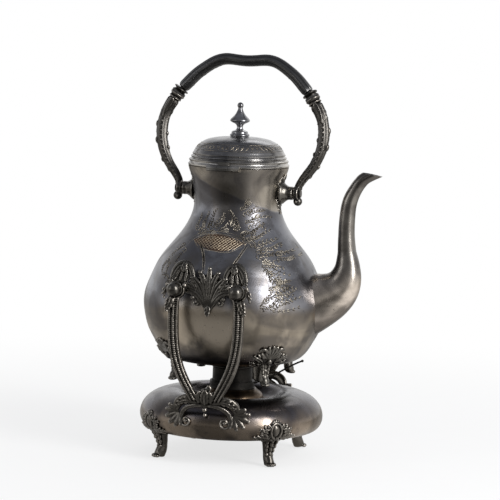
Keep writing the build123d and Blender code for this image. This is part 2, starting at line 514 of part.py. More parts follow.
def burner():
    """Spirit burner: reservoir, chimney, wick tube, wick, and the regulator with its lever."""
    floor = WELL_FLOOR + WELL_WALL
    side = [(BURNER_R, floor), BURNER_TOP[0]]
    cap = [BURNER_TOP[-1], (0, SHOULDER_Z), (0, floor), side[0]]
    shape = revolve(make_face([line(side), curve(BURNER_TOP), line(cap)]), Axis.Z)
    shoulder_low = BURNER_TOP[0][1]
    room = disc(BURNER_R - TANK_WALL, floor + TANK_WALL, shoulder_low) + disc(TANK_NECK_R, shoulder_low, TANK_ROOF)
    nodes["burner_reservoir"] = shape - room - disc(WICK_TUBE_R, TANK_ROOF, SHOULDER_Z)
    bore = CHIMNEY_R - WALL
    (foot_out, foot_tall), (roll_out, roll_tall) = CHIMNEY_FOOT, CHIMNEY_ROLL
    nodes["burner_chimney"] = (ring(bore, CHIMNEY_R, SHOULDER_Z, CHIMNEY_TOP)
                               + ring(bore, CHIMNEY_R + foot_out, SHOULDER_Z, SHOULDER_Z + foot_tall)
                               + ring(bore, CHIMNEY_R + roll_out, CHIMNEY_TOP - roll_tall, CHIMNEY_TOP))
    nodes["wick_tube"] = (ring(WICK_R, WICK_TUBE_R, TUBE_LOW, WICK_TOP - 2)
                          + ring(WICK_R, TUBE_FLANGE_R, SHOULDER_Z, SHOULDER_Z + WELL_WALL))
    nodes["wick"] = disc(WICK_R, WICK_LOW, WICK_TOP)
    collar_low = SHOULDER_Z + COLLAR_LIFT
    collar = ring(CHIMNEY_R + RUN, CHIMNEY_R + COLLAR_WALL, collar_low, collar_low + COLLAR_TALL)
    path = [(r, 0, z) for r, z in LEVER_PATH]
    lever = along(path, [(LEVER_R, LEVER_R)] * len(path)) - disc(CHIMNEY_R + LEVER_ROOT, SHOULDER_Z, CHIMNEY_TOP)
    knob = Pos(*path[-1]) * Sphere(LEVER_KNOB_R)
    turn = Rot(0, 0, REGULATOR_TURN)
    nodes["regulator_collar"] = turn * (collar - lever)
    nodes["regulator_lever"] = turn * (lever - knob)
    nodes["regulator_knob"] = turn * knob


kettle_solid = kettle()
lid()
hinge(kettle_solid)
handle()
handle_sockets(kettle_solid)
base_solid = turned(BASE_PROFILE)
feet(kettle_solid, base_solid)
lugs(kettle_solid)
screws = bracket_screws()
base_shell = base(nodes["base_foot_studs"] + screws)
bracket_nuts(screws, base_solid, base_shell)
brackets(base_solid, screws)
burner()

boxes = [shape.bounding_box() for shape in nodes.values()]
axis_x = -(min(box.min.X for box in boxes) + max(box.max.X for box in boxes)) / 2
for name, shape in nodes.items():
    export_step(Pos(axis_x, 0, 0) * shape, f"parts/{name}.step")
print(len(nodes), "nodes, the kettle's axis at X", round(axis_x, 4))
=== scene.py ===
"""Dresses a silver-plated tilting kettle on its burner stand: plated skins, castings and engraving.

Lengths are in millimetres, with +Z up, +X towards the spout and -Y the near side.  A finished mesh
is scaled to metres when it leaves the bench.  Ornament is drawn in places (across, up, out) on the
surface that carries it.
"""

import json
import logging
from dataclasses import dataclass, field
from enum import Enum
from math import atan2, cos, pi, radians, sin
from typing import Any, Callable, Mapping, Sequence

import bmesh
import bpy
import numpy as np
from mathutils import Matrix, Vector

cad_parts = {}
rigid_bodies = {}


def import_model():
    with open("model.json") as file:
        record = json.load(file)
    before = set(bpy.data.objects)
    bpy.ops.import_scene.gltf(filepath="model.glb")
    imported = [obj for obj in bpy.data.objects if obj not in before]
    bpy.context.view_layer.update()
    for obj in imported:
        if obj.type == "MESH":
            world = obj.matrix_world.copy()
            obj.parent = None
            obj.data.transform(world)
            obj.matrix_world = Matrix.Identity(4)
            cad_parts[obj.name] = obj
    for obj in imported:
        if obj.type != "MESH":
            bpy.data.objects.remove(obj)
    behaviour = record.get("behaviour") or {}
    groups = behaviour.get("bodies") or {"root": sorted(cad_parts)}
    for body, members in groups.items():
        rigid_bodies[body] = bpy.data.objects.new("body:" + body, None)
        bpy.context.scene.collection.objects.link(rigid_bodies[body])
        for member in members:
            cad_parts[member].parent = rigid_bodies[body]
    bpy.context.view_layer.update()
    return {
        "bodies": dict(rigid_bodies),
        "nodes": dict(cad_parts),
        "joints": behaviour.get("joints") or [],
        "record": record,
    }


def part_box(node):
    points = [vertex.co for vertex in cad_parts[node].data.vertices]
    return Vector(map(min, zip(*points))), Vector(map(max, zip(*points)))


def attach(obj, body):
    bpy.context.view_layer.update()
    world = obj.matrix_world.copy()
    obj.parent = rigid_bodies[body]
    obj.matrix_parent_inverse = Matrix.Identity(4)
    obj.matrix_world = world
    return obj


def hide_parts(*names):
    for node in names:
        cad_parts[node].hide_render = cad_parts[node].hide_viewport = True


MM = 0.001
LOG = logging.getLogger("kettle")
MIRROR = {"X": (-1, 1, 1), "Y": (1, -1, 1)}
BOTH_SIDES = {"X": ("front", "rear"), "Y": ("near", "far")}
MERGE = 1e-3  # corners nearer than this, in millimetres, become one
NUDGE = 1e-3  # share of a curve's length over which its direction is taken
WHITE = EVENLY = (1.0, 1.0, 1.0)

Colour = tuple[float, float, float]
Triple = tuple[float, float, float]
Points = Sequence[Sequence[float]]
Host = Callable[[np.ndarray], np.ndarray]


class Body(str, Enum):
    """The bodies that move against each other."""

    STAND = "stand"
    KETTLE = "kettle"
    LID = "lid"
    HANDLE = "handle"
    REGULATOR = "regulator"
    FRONT_TRUNNIONS = "front_trunnions"


class Slot(str, Enum):
    """The finishes that the record names."""

    KETTLE = "kettle_silver"
    LID = "lid_silver"
    BASE = "base_silver"
    CAST = "cast_silver"
    STAND_CAST = "stand_cast_silver"
    HANDLE_CAST = "handle_cast_silver"
    GRIP = "grip_silver"
    INSULATOR = "insulator_dark"
    BURNER = "burner_brass"
    SOOT = "burner_black"
    WICK = "wick_cotton"
    BRASS = "plain_brass"
    STEEL = "plain_steel"


class Value:
    """A shader socket that takes part in Python arithmetic."""

    def __init__(self, paint: "Paint", socket: bpy.types.NodeSocket) -> None:
        """Wraps a socket of a paint's node tree."""
        self.paint = paint
        self.socket = socket

    def _math(self, operation: str, *inputs: Any) -> "Value":
        """Adds a Math node on these inputs."""
        return self.paint.node("ShaderNodeMath", dict(enumerate(inputs)), operation=operation)

    def __add__(self, other: Any) -> "Value":
        """Sum."""
        return self._math("ADD", self, other)

    __radd__ = __add__

    def __sub__(self, other: Any) -> "Value":
        """Difference."""
        return self._math("SUBTRACT", self, other)

    def __rsub__(self, other: Any) -> "Value":
        """Difference, with the socket on the right."""
        return self._math("SUBTRACT", other, self)

    def __mul__(self, other: Any) -> "Value":
        """Product."""
        return self._math("MULTIPLY", self, other)

    __rmul__ = __mul__

    def also(self, output: str | int) -> "Value":
        """Another output of the same node."""
        return Value(self.paint, self.socket.node.outputs[output])

    def ramp(self, low: float, high: float) -> "Value":
        """Smooth step from 0 to 1 between two values, falling where high is below low."""
        start, end, flip = (low, high, False) if low < high else (high, low, True)
        step = self.paint.node("ShaderNodeMapRange", {"Value": self, "From Min": start, "From Max": end},
                               interpolation_type="SMOOTHSTEP")
        return 1.0 - step if flip else step


class Paint:
    """A material's or the world's node tree under way."""

    def __init__(self, holder: bpy.types.Material | bpy.types.World) -> None:
        """Starts with an empty tree on a material or world."""
        holder.use_nodes = True
        self.holder = holder
        self.tree = holder.node_tree
        self.tree.nodes.clear()

    def node(self, kind: str, inputs: Mapping[str | int, Any] | None = None, output: str | int = 0,
             **settings: Any) -> Value:
        """Adds a node.

        Args:
            kind: the node's type.
            inputs: values or links of its sockets, by name or place.
            output: the output that is returned.
            settings: the node's own properties, set before its sockets.

        Returns:
            The chosen output.
        """
        made = self.tree.nodes.new(kind)
        for name, value in settings.items():
            setattr(made, name, value)
        for name, value in (inputs or {}).items():
            socket = made.inputs[name]
            if isinstance(value, Value):
                self.tree.links.new(value.socket, socket)
            elif isinstance(value, tuple) and socket.type == "RGBA":
                socket.default_value = (*value, 1.0)
            else:
                socket.default_value = value
        return Value(self, made.outputs[output]) if made.outputs else None

    def place(self, stretch: Triple = EVENLY) -> Value:
        """Object coordinates, multiplied by a stretch."""
        here = self.node("ShaderNodeTexCoord", output="Object")
        if stretch == EVENLY:
            return here
        return self.node("ShaderNodeVectorMath", {0: here, 1: stretch}, operation="MULTIPLY")

    def noise(self, scale: float, detail: float = 3.0, rough: float = 0.5, bend: float = 0.0,
              stretch: Triple = EVENLY) -> Value:
        """Fractal noise in object coordinates, around 0.5."""
        return self.node("ShaderNodeTexNoise", {"Vector": self.place(stretch), "Scale": scale,
                                                "Detail": detail, "Roughness": rough, "Distortion": bend})

    def mix(self, share: Any, first: Any, second: Any) -> Value:
        """Colour between two colours."""
        return self.node("ShaderNodeMix", {0: share, 6: first, 7: second}, output=2, data_type="RGBA")

    def height(self) -> Value:
        """Height above the ground in metres."""
        return self.node("ShaderNodeSeparateXYZ", {0: self.place()}, output="Z")

    def bump(self, field_value: Value, strength: float, depth: float) -> Value:
        """Normal from a height field, with depth in metres."""
        return self.node("ShaderNodeBump", {"Height": field_value, "Strength": strength, "Distance": depth})

    def surface(self, sockets: Mapping[str, Any]) -> bpy.types.Material:
        """Ends the tree in one principled shader.

        Args:
            sockets: its values and links.

        Returns:
            The material.
        """
        shader = self.node("ShaderNodeBsdfPrincipled", sockets)
        self.node("ShaderNodeOutputMaterial", {"Surface": shader})
        return self.holder


@dataclass(frozen=True)
class Mark:
    """One kind of mark on plate: patches of noise between two levels.

    Attributes:
        scale: how many of them a metre holds, roughly.
        detail: how many finer layers they have.
        rough: how strong those layers are.
        bend: how far the patches are twisted.
        stretch: how much they are squeezed along each axis.
        low: level of the noise where they start.
        high: level of the noise where they are full.
        share: how strongly they tint.
    """

    scale: float
    detail: float
    rough: float
    bend: float
    stretch: Triple
    low: float
    high: float
    share: float

    def on(self, paint: Paint) -> Value:
        """Where the marks lie, from 0 to 1."""
        noise = paint.noise(self.scale, self.detail, self.rough, self.bend, self.stretch)
        return noise.ramp(self.low, self.high)


PATCHES = Mark(26, 5, 0.62, 1.2, EVENLY, 0.46, 0.66, 0.6)
BLOTS = Mark(12, 3, 0.5, 1.0, (1.0, 1.0, 1.6), 0.46, 0.58, 0.6)
STREAKS = Mark(22, 4, 0.6, 0.8, (1.0, 1.0, 0.35), 0.5, 0.68, 0.45)
# painted reflection: pale warm patches of the lit table on the lower plate
PAINTED_REFLECTION_PATCHES = Mark(13, 4, 0.55, 0.6, EVENLY, 0.46, 0.62, 0.85)
SPECKS = Mark(420, 2, 0.6, 0.0, EVENLY, 0.66, 0.74, 0.55)


def shade(colour: Colour, factor: float) -> Colour:
    """A colour made darker or lighter, up to white."""
    return tuple(min(1.0, channel * factor) for channel in colour)


@dataclass(frozen=True)
class PlateFinish:
    """Worn silver plate: tarnish with a painted reflection of the dim room above and of the lit table below,
    stains, specks and fine scratches.

    Attributes:
        name: the material's name.
        tarnish_and_room_reflection: colour above, tarnish with a painted reflection of the dim room.
        tarnish_and_table_reflection: colour below, tarnish with a painted reflection of the lit table.
        stain_and_shade: colour of the darkest marks, and of the painted shade towards the bottom.
        horizon_low: height in metres where the painted reflection of the table ends.
        horizon_high: height where the painted reflection of the room is full.
        gloss: roughness of clean metal.
        neck: height of a third zone's slanting edge on the axis, above everything by default.
        neck_tone: that zone's colour.
        neck_slope: how steeply its edge falls towards +X.
        sway: how far a zone's edge wanders in metres.
        neck_sway: the same for the slanting edge.
    """

    name: str
    tarnish_and_room_reflection: Colour
    tarnish_and_table_reflection: Colour
    stain_and_shade: Colour
    horizon_low: float
    horizon_high: float
    gloss: float = 0.25
    neck: float = 9.0
    neck_tone: Colour = (0.38, 0.345, 0.295)
    neck_slope: float = 0.43
    sway: float = 0.03
    neck_sway: float = 0.018

    def _zones(self, paint: Paint, level: Value, cloud: Value) -> Value:
        """Colour of the two painted reflection zones and the slanting third one, with a dark seam under its
        edge.
        """
        tone = paint.mix(level.ramp(self.horizon_low, self.horizon_high), self.tarnish_and_table_reflection, self.tarnish_and_room_reflection)
        height = paint.height()
        tilt = height + height.also("X") * self.neck_slope + (cloud - 0.5) * self.neck_sway
        tone = paint.mix(tilt.ramp(self.neck - 0.001, self.neck + 0.002), tone, self.neck_tone)
        seam = tilt.ramp(self.neck - 0.012, self.neck - 0.001)
        seam = seam * tilt.ramp(self.neck + 0.001, self.neck - 0.001)
        return paint.mix(seam * 0.6, tone, self.stain_and_shade)

    def material(self) -> bpy.types.Material:
        """Builds the material."""
        paint = Paint(bpy.data.materials.new(self.name))
        cloud = paint.noise(16, 4, 0.55, 0.6)
        level = paint.height() + (cloud - 0.5) * self.sway
        patches, specks = PATCHES.on(paint), SPECKS.on(paint)
        # below: the lower zone, which takes the pale patches of painted reflection
        below = level.ramp(self.horizon_high + 0.01, self.horizon_low - 0.01)
        # painted shade: darker towards the bottom, under the body
        shaded_underside = level.ramp(self.horizon_low - 0.026, self.horizon_low - 0.05)
        tone = self._zones(paint, level, cloud)
        for share, tint in ((patches * PATCHES.share, self.stain_and_shade),
                            (BLOTS.on(paint) * BLOTS.share, self.stain_and_shade),
                            (STREAKS.on(paint) * STREAKS.share, shade(self.tarnish_and_table_reflection, 0.5)),
                            (PAINTED_REFLECTION_PATCHES.on(paint) * PAINTED_REFLECTION_PATCHES.share * below, shade(self.tarnish_and_table_reflection, 2.4)),
                            (shaded_underside * 0.75, self.stain_and_shade), (specks * SPECKS.share, shade(self.tarnish_and_room_reflection, 0.35))):
            tone = paint.mix(share, tone, tint)
        wipe = paint.noise(60, 3, 0.6, 0.3, (1.0, 1.0, 0.25))
        rough = self.gloss + (wipe - 0.5) * 0.14 + patches * 0.10 + specks * 0.15
        fine = paint.noise(900, 2, 0.5, 0.0, (1.0, 1.0, 0.12))
        waves = paint.noise(38, 2, 0.4)
        relief = fine * 0.06 + waves - specks * 0.05
        return paint.surface({"Base Color": tone, "Metallic": 1.0, "Roughness": rough,
                              "Normal": paint.bump(relief, 0.35, 0.0004)})


@dataclass(frozen=True)
class CastFinish:
    """Chased casting: nearly black hollows, toned faces and pale rubbed edges.

    Attributes:
        name: the material's name.
        hollow: colour of the deepest parts.
        face: colour between hollows and edges.
        edge: colour of what stands out.
        gloss: roughness of clean metal.
    """

    name: str
    hollow: Colour
    face: Colour
    edge: Colour
    gloss: float = 0.3

    def material(self) -> bpy.types.Material:
        """Builds the material, which reads the relief that the castings' meshes carry."""
        paint = Paint(bpy.data.materials.new(self.name))
        relief = paint.node("ShaderNodeAttribute", {}, output="Fac", attribute_name="relief")
        grime = paint.noise(140, 4, 0.6)
        depth = relief + (grime - 0.5) * 0.35
        tone = paint.mix(depth.ramp(-0.42, 0.12), self.hollow, self.face)
        tone = paint.mix(depth.ramp(0.2, 0.8), tone, self.edge)
        patch = paint.noise(40, 3, 0.5).ramp(0.45, 0.7)
        tone = paint.mix(patch * 0.35, tone, shade(self.face, 0.55))
        rough = self.gloss + depth.ramp(0.05, -0.5) * 0.35 + (grime - 0.5) * 0.15
        grain = paint.noise(700, 3, 0.6)
        return paint.surface({"Base Color": tone, "Metallic": 1.0, "Roughness": rough,
                              "Normal": paint.bump(grain, 0.3, 0.0003)})


@dataclass(frozen=True)
class PlainFinish:
    """Simple stuff of one kind, mottled.

    Attributes:
        name: the material's name.
        light: its lighter colour.
        dark: its darker colour.
        metallic: 1 for metal, 0 for anything else.
        gloss: its roughness.
        grain: how many grains a metre holds, roughly.
        depth: how deep they are in metres.
    """

    name: str
    light: Colour
    dark: Colour
    metallic: float
    gloss: float
    grain: float = 200.0
    depth: float = 0.0002

    def material(self) -> bpy.types.Material:
        """Builds the material."""
        paint = Paint(bpy.data.materials.new(self.name))
        mottle = paint.noise(self.grain * 0.3, 4, 0.6, 0.5)
        grain = paint.noise(self.grain * 3, 3, 0.6)
        tone = paint.mix(mottle.ramp(0.35, 0.65), self.dark, self.light)
        return paint.surface({"Base Color": tone, "Metallic": self.metallic,
                              "Roughness": self.gloss + (grain - 0.5) * 0.2,
                              "Normal": paint.bump(grain, 0.4, self.depth)})


FINISHES: dict[Slot, PlateFinish | CastFinish | PlainFinish] = {
    # Each plate paints a reflection into its colour: the dim room above its horizon, the lit table below.
    Slot.KETTLE: PlateFinish("kettle plate", (0.245, 0.248, 0.268), (0.265, 0.23, 0.185),
                             (0.075, 0.07, 0.072), 0.150, 0.160, 0.29, neck=0.2535),
    Slot.LID: PlateFinish("lid plate", (0.33, 0.33, 0.34), (0.32, 0.305, 0.28), (0.09, 0.088, 0.09), 0.285,
                          0.31),
    Slot.BASE: PlateFinish("stand plate", (0.10, 0.094, 0.103), (0.155, 0.126, 0.098), (0.05, 0.045, 0.047),
                           0.042, 0.054),
    Slot.CAST: CastFinish("kettle casting", (0.008, 0.007, 0.006), (0.125, 0.117, 0.104), (0.50, 0.465, 0.41),
                          0.27),
    Slot.STAND_CAST: CastFinish("stand casting", (0.008, 0.007, 0.006), (0.122, 0.112, 0.098),
                                (0.48, 0.44, 0.39), 0.27),
    Slot.HANDLE_CAST: CastFinish("handle casting", (0.008, 0.007, 0.006), (0.082, 0.077, 0.07),
                                 (0.38, 0.35, 0.31), 0.30),
    Slot.GRIP: CastFinish("grip metal", (0.015, 0.015, 0.015), (0.12, 0.12, 0.12), (0.28, 0.27, 0.26), 0.28),
    Slot.INSULATOR: PlainFinish("heat break", (0.03, 0.027, 0.024), (0.012, 0.011, 0.01), 0.0, 0.5),
    Slot.BURNER: PlainFinish("burner metal", (0.16, 0.115, 0.075), (0.055, 0.038, 0.028), 1.0, 0.35),
    Slot.SOOT: PlainFinish("sooted metal", (0.035, 0.032, 0.028), (0.012, 0.011, 0.01), 0.9, 0.45),
    Slot.WICK: PlainFinish("cotton wick", (0.42, 0.38, 0.30), (0.16, 0.13, 0.10), 0.0, 0.9, 500.0, 0.0005),
    Slot.BRASS: PlainFinish("plain brass", (0.42, 0.33, 0.15), (0.20, 0.15, 0.07), 1.0, 0.35),
    Slot.STEEL: PlainFinish("plain steel", (0.34, 0.34, 0.34), (0.18, 0.18, 0.17), 1.0, 0.35),
}


class SmoothLine:
    """A smooth curve through points: a natural cubic spline over its chord length."""

    def __init__(self, points: Points) -> None:
        """Fits the spline through the points."""
        self.points = np.array(points, float)
        steps = np.linalg.norm(np.diff(self.points, axis=0), axis=1)
        self.knots = np.concatenate([[0.0], np.cumsum(steps)])
        count = len(self.points)
        system, right = np.eye(count), np.zeros_like(self.points)
        slopes = np.diff(self.points, axis=0) / steps[:, None]
        for i in range(1, count - 1):
            system[i, i - 1:i + 2] = steps[i - 1], 2 * (steps[i - 1] + steps[i]), steps[i]
            right[i] = 6 * (slopes[i] - slopes[i - 1])
        self.bend = np.linalg.solve(system, right)

    @property
    def length(self) -> float:
        """Length of the chords."""
        return float(self.knots[-1])

    def at(self, run: np.ndarray) -> np.ndarray:
        """Points at distances along the curve."""
        run = np.clip(np.atleast_1d(run), 0.0, self.length)
        i = np.clip(np.searchsorted(self.knots, run, side="right") - 1, 0, len(self.knots) - 2)
        step = (self.knots[i + 1] - self.knots[i])[:, None]
        after = (run[:, None] - self.knots[i][:, None]) / step
        before = 1 - after
        bend = (before ** 3 - before) * self.bend[i] + (after ** 3 - after) * self.bend[i + 1]
        return before * self.points[i] + after * self.points[i + 1] + bend * step ** 2 / 6

    def sample(self, count: int) -> np.ndarray:
        """Evenly spaced points from end to end."""
        return self.at(np.linspace(0.0, self.length, count))

    def point(self, share: float) -> np.ndarray:
        """The point at a share of the curve's length."""
        return self.at(np.array([share * self.length]))[0]

    def heading(self, run: np.ndarray) -> np.ndarray:
        """Unit directions at distances along the curve."""
        nudge = self.length * NUDGE
        step = self.at(run + nudge) - self.at(run - nudge)
        return step / np.linalg.norm(step, axis=1)[:, None]


def side_line(points: Points) -> SmoothLine:
    """A curve in the plane Y = 0 through points (X, Z)."""
    return SmoothLine([(x, 0.0, z) for x, z, *_ in points])


def even(values: Sequence[float], share: np.ndarray) -> np.ndarray:
    """Values spaced evenly over 0 to 1, read between at each share."""
    return np.interp(share, np.linspace(0.0, 1.0, len(values)), values)


def turned_by(points: np.ndarray, degrees: float) -> np.ndarray:
    """Points turned about Z."""
    c, s = cos(radians(degrees)), sin(radians(degrees))
    return points @ np.array([[c, s, 0.0], [-s, c, 0.0], [0.0, 0.0, 1.0]])


@dataclass
class Hug:
    """Places (across, up, out) on a turned wall, where up is the height and out is square to the wall.

    Attributes:
        outline: radius and height of the wall, from its bottom to its top.
        facing: direction of the middle, in degrees from +X about Z.
    """

    outline: np.ndarray
    facing: float = -90.0

    def __post_init__(self) -> None:
        """Works out the wall's outward direction at each height."""
        order = np.argsort(self.outline[:, 1])
        self.outline = self.outline[order]
        step = np.gradient(self.outline, axis=0)
        self.normal = np.stack([step[:, 1], -step[:, 0]], axis=1)
        self.normal /= np.linalg.norm(self.normal, axis=1)[:, None]

    def radius(self, height: np.ndarray) -> np.ndarray:
        """Radius of the wall at a height."""
        return np.interp(height, self.outline[:, 1], self.outline[:, 0])

    def __call__(self, places: np.ndarray) -> np.ndarray:
        """Positions of the places."""
        across, up, out = places.T
        wall = self.radius(up)
        lean_out = np.interp(up, self.outline[:, 1], self.normal[:, 0])
        lean_up = np.interp(up, self.outline[:, 1], self.normal[:, 1])
        angle = np.arcsin(np.clip(across / wall, -1, 1))
        reach = wall + out * lean_out
        points = np.stack([reach * np.cos(angle), reach * np.sin(angle), up + out * lean_up], axis=1)
        return turned_by(points, self.facing)


@dataclass
class Upright:
    """Places (across, up, out) on an upright sheet on the near side, whose distance follows the height.

    Attributes:
        heights: heights where the distance is known.
        distances: distance from the middle plane at those heights.
    """

    heights: Sequence[float]
    distances: Sequence[float]

    def __call__(self, places: np.ndarray) -> np.ndarray:
        """Positions of the places."""
        across, up, out = places.T
        return np.stack([across, -np.interp(up, self.heights, self.distances) - out, up], axis=1)


@dataclass
class Stem:
    """Places (round, along, out) on a round bar: round is a distance about it, along a share of it.

    Attributes:
        line: the bar's middle.
        radii: its radius, spaced evenly along it.
        side: a direction square to the bar's plane, where round is zero.
    """

    line: SmoothLine
    radii: Sequence[float]
    side: Sequence[float] = (0.0, -1.0, 0.0)

    def __call__(self, places: np.ndarray) -> np.ndarray:
        """Positions of the places."""
        about, along, out = places.T
        run = along * self.line.length
        middle, ahead = self.line.at(run), self.line.heading(run)
        side = np.broadcast_to(np.array(self.side, float), ahead.shape)
        outward = np.cross(side, ahead)
        radius = even(self.radii, along)
        angle = about / radius
        reach = (radius + out)[:, None]
        return middle + reach * (np.cos(angle)[:, None] * side + np.sin(angle)[:, None] * outward)


def as_is(places: np.ndarray) -> np.ndarray:
    """Places that are positions already."""
    return places


class Form:
    """A mesh under way, shaped with mesh operators."""

    def __init__(self) -> None:
        """Starts empty."""
        self.bm = bmesh.new()

    def _grid(self, columns: int, rows: int) -> tuple[list[bmesh.types.BMVert], np.ndarray, np.ndarray]:
        """A grid of faces, with each point's two shares from 0 to 1."""
        made = bmesh.ops.create_grid(self.bm, x_segments=columns, y_segments=rows, size=1.0)
        flat = np.array([vert.co[:] for vert in made["verts"]])
        return made["verts"], (flat[:, 0] + 1) / 2, (flat[:, 1] + 1) / 2

    @staticmethod
    def _move(verts: Sequence[bmesh.types.BMVert], points: np.ndarray) -> None:
        """Puts the points of a grid or ball in place."""
        for vert, point in zip(verts, points.tolist()):
            vert.co = point

    def turn(self, outline: Points, steps: int = 128, closed: bool = False) -> "Form":
        """Spins an outline of radii and heights about Z.

        Args:
            outline: radius and height of its points.
            steps: how many faces go round.
            closed: whether its last point joins its first.

        Returns:
            The form itself.
        """
        verts = [self.bm.verts.new((r, 0.0, z)) for r, z in outline]
        pairs = list(zip(verts, verts[1:])) + ([(verts[-1], verts[0])] if closed else [])
        edges = [self.bm.edges.new(pair) for pair in pairs]
        bmesh.ops.spin(self.bm, geom=verts + edges, cent=(0, 0, 0), axis=(0, 0, 1), angle=2 * pi, steps=steps,
                       use_merge=True)
        return self

    def bar(self, line: SmoothLine, wide: Sequence[float], deep: Sequence[float] | None = None,
            side: Sequence[float] = (0.0, 1.0, 0.0), rings: int = 32, sides: int = 16, flutes: int = 0,
            flute: float = 0.0, blunt: float = 16.0) -> "Form":
        """Closed bar of ovals square to a line.

        Args:
            line: the bar's middle.
            wide: half widths along side, spaced evenly from end to end.
            deep: half widths square to side, or the same as wide.
            side: a direction about square to the line.
            rings: steps along the bar.
            sides: steps round it.
            flutes: how many long grooves it has.
            flute: their depth as a share of its width.
            blunt: how late its ends round off.

        Returns:
            The form itself.
        """
        verts, along, about = self._grid(rings, sides)
        share = (1 - np.cos(pi * along)) / 2 * 0.5 + along * 0.5
        run = share * line.length
        middle, ahead = line.at(run), line.heading(run)
        across = np.broadcast_to(np.array(side, float), ahead.shape)
        across = across - (across * ahead).sum(axis=1)[:, None] * ahead
        across /= np.linalg.norm(across, axis=1)[:, None]
        up = np.cross(ahead, across)
        end = np.sqrt(np.clip(1 - np.abs(2 * share - 1) ** blunt, 0, 1))
        angle = 2 * pi * about
        grooved = end * (1 - flute * (0.5 - 0.5 * np.cos(flutes * angle)) ** 2)
        width = (even(wide, share) * grooved * np.cos(angle))[:, None]
        depth = (even(deep or wide, share) * grooved * np.sin(angle))[:, None]
        self._move(verts, middle + width * across + depth * up)
        return self

    def ridge(self, host: Host, line: Points, half: Sequence[float], high: Sequence[float], sink: float = 0.8,
              groove: float = 0.0, rings: int = 14, sides: int = 10, blunt: float = 8.0) -> "Form":
        """Closed lens-shaped bar along a line on a host surface.

        Args:
            host: finds the position of a place.
            line: places (across, up) or (across, up, out) of its middle.
            half: half widths, spaced evenly from end to end.
            high: how far it stands out.
            sink: how far its underside goes in.
            groove: depth of a groove along its back, as a share of its height.
            rings: steps along it.
            sides: steps round it.
            blunt: how late its ends round off.

        Returns:
            The form itself.
        """
        middle_line = SmoothLine([(*point, 0.0)[:3] if len(point) == 2 else point for point in line])
        verts, along, about = self._grid(rings, sides)
        run = along * middle_line.length
        middle, ahead = middle_line.at(run), middle_line.heading(run)
        across = np.stack([ahead[:, 1], -ahead[:, 0], np.zeros(len(ahead))], axis=1)
        across /= np.maximum(np.linalg.norm(across, axis=1), 1e-6)[:, None]
        end = np.sqrt(np.clip(1 - np.abs(2 * along - 1) ** blunt, 0, 1))
        angle = 2 * pi * about
        places = middle + (even(half, along) * end * np.cos(angle))[:, None] * across
        dip = 1 - groove * np.exp(-(np.cos(angle) / 0.35) ** 2)
        up = np.where(np.sin(angle) > 0, even(high, along) * dip, sink) * np.sin(angle) * end
        places[:, 2] += up
        self._move(verts, host(places))
        return self

    def bead(self, host: Host, at: Sequence[float], radius: float, squash: Sequence[float] = (1, 1, 1),
             detail: int = 2) -> "Form":
        """Ball or egg at a place on a host surface."""
        made = bmesh.ops.create_icosphere(self.bm, subdivisions=detail, radius=radius)["verts"]
        ball = np.array([vert.co[:] for vert in made])
        self._move(made, host(np.array(at, float) + ball * np.array(squash, float)))
        return self

    def scroll(self, host: Host, centre: Sequence[float], radius: float, start: float, turns: float,
               half: float, high: float) -> "Form":
        """Volute that winds in to a bead.

        Args:
            host: finds the position of a place.
            centre: place of its eye.
            radius: distance from the eye to its outer end.
            start: direction of its outer end, in degrees from across.
            turns: how often it winds, negative for clockwise.
            half: half width at its outer end.
            high: how far it stands out.

        Returns:
            The form itself.
        """
        count = 9
        line = []
        for i in range(count):
            share = i / (count - 1)
            angle = radians(start + 360 * turns * share)
            reach = radius * (1 - share) ** 0.9 + half * 0.5 * share
            line.append((centre[0] + reach * cos(angle), centre[1] + reach * sin(angle), 0.4 * share * high))
        self.ridge(host, line, [half, half * 0.85, half * 0.6], [high, high, high * 0.8], rings=26)
        return self.bead(host, (centre[0], centre[1], high * 0.45), half * 0.95)

    def fan(self, host: Host, centre: Sequence[float], start: float, sweep: float, count: int, length: float,
            half: float, high: float, taper: float = 0.15) -> "Form":
        """Shell of ribs that spread from a point.

        Args:
            host: finds the position of a place.
            centre: place that the ribs leave.
            start: direction of the first rib, in degrees from across.
            sweep: angle from the first rib to the last.
            count: how many ribs.
            length: length of the middle rib.
            half: half width of a rib at its end.
            high: how far its end stands out.
            taper: how much shorter the outer ribs are.

        Returns:
            The form itself.
        """
        for i in range(count):
            off = 2 * i / (count - 1) - 1
            angle = radians(start + sweep * i / (count - 1))
            reach = length * (1 - taper * off * off)
            line = [(centre[0] + reach * s * cos(angle), centre[1] + reach * s * sin(angle), lift)
                    for s, lift in ((0.05, 0.0), (0.5, 0.1 * high), (1.0, 0.25 * high))]
            self.ridge(host, line, [half * 0.3, half * 0.7, half, half * 0.9],
                       [high * 0.5, high * 0.7, high, high], groove=0.25)
            self.bead(host, (*line[-1][:2], high * 0.45), half * 0.7, (1, 1, 0.8))
        return self

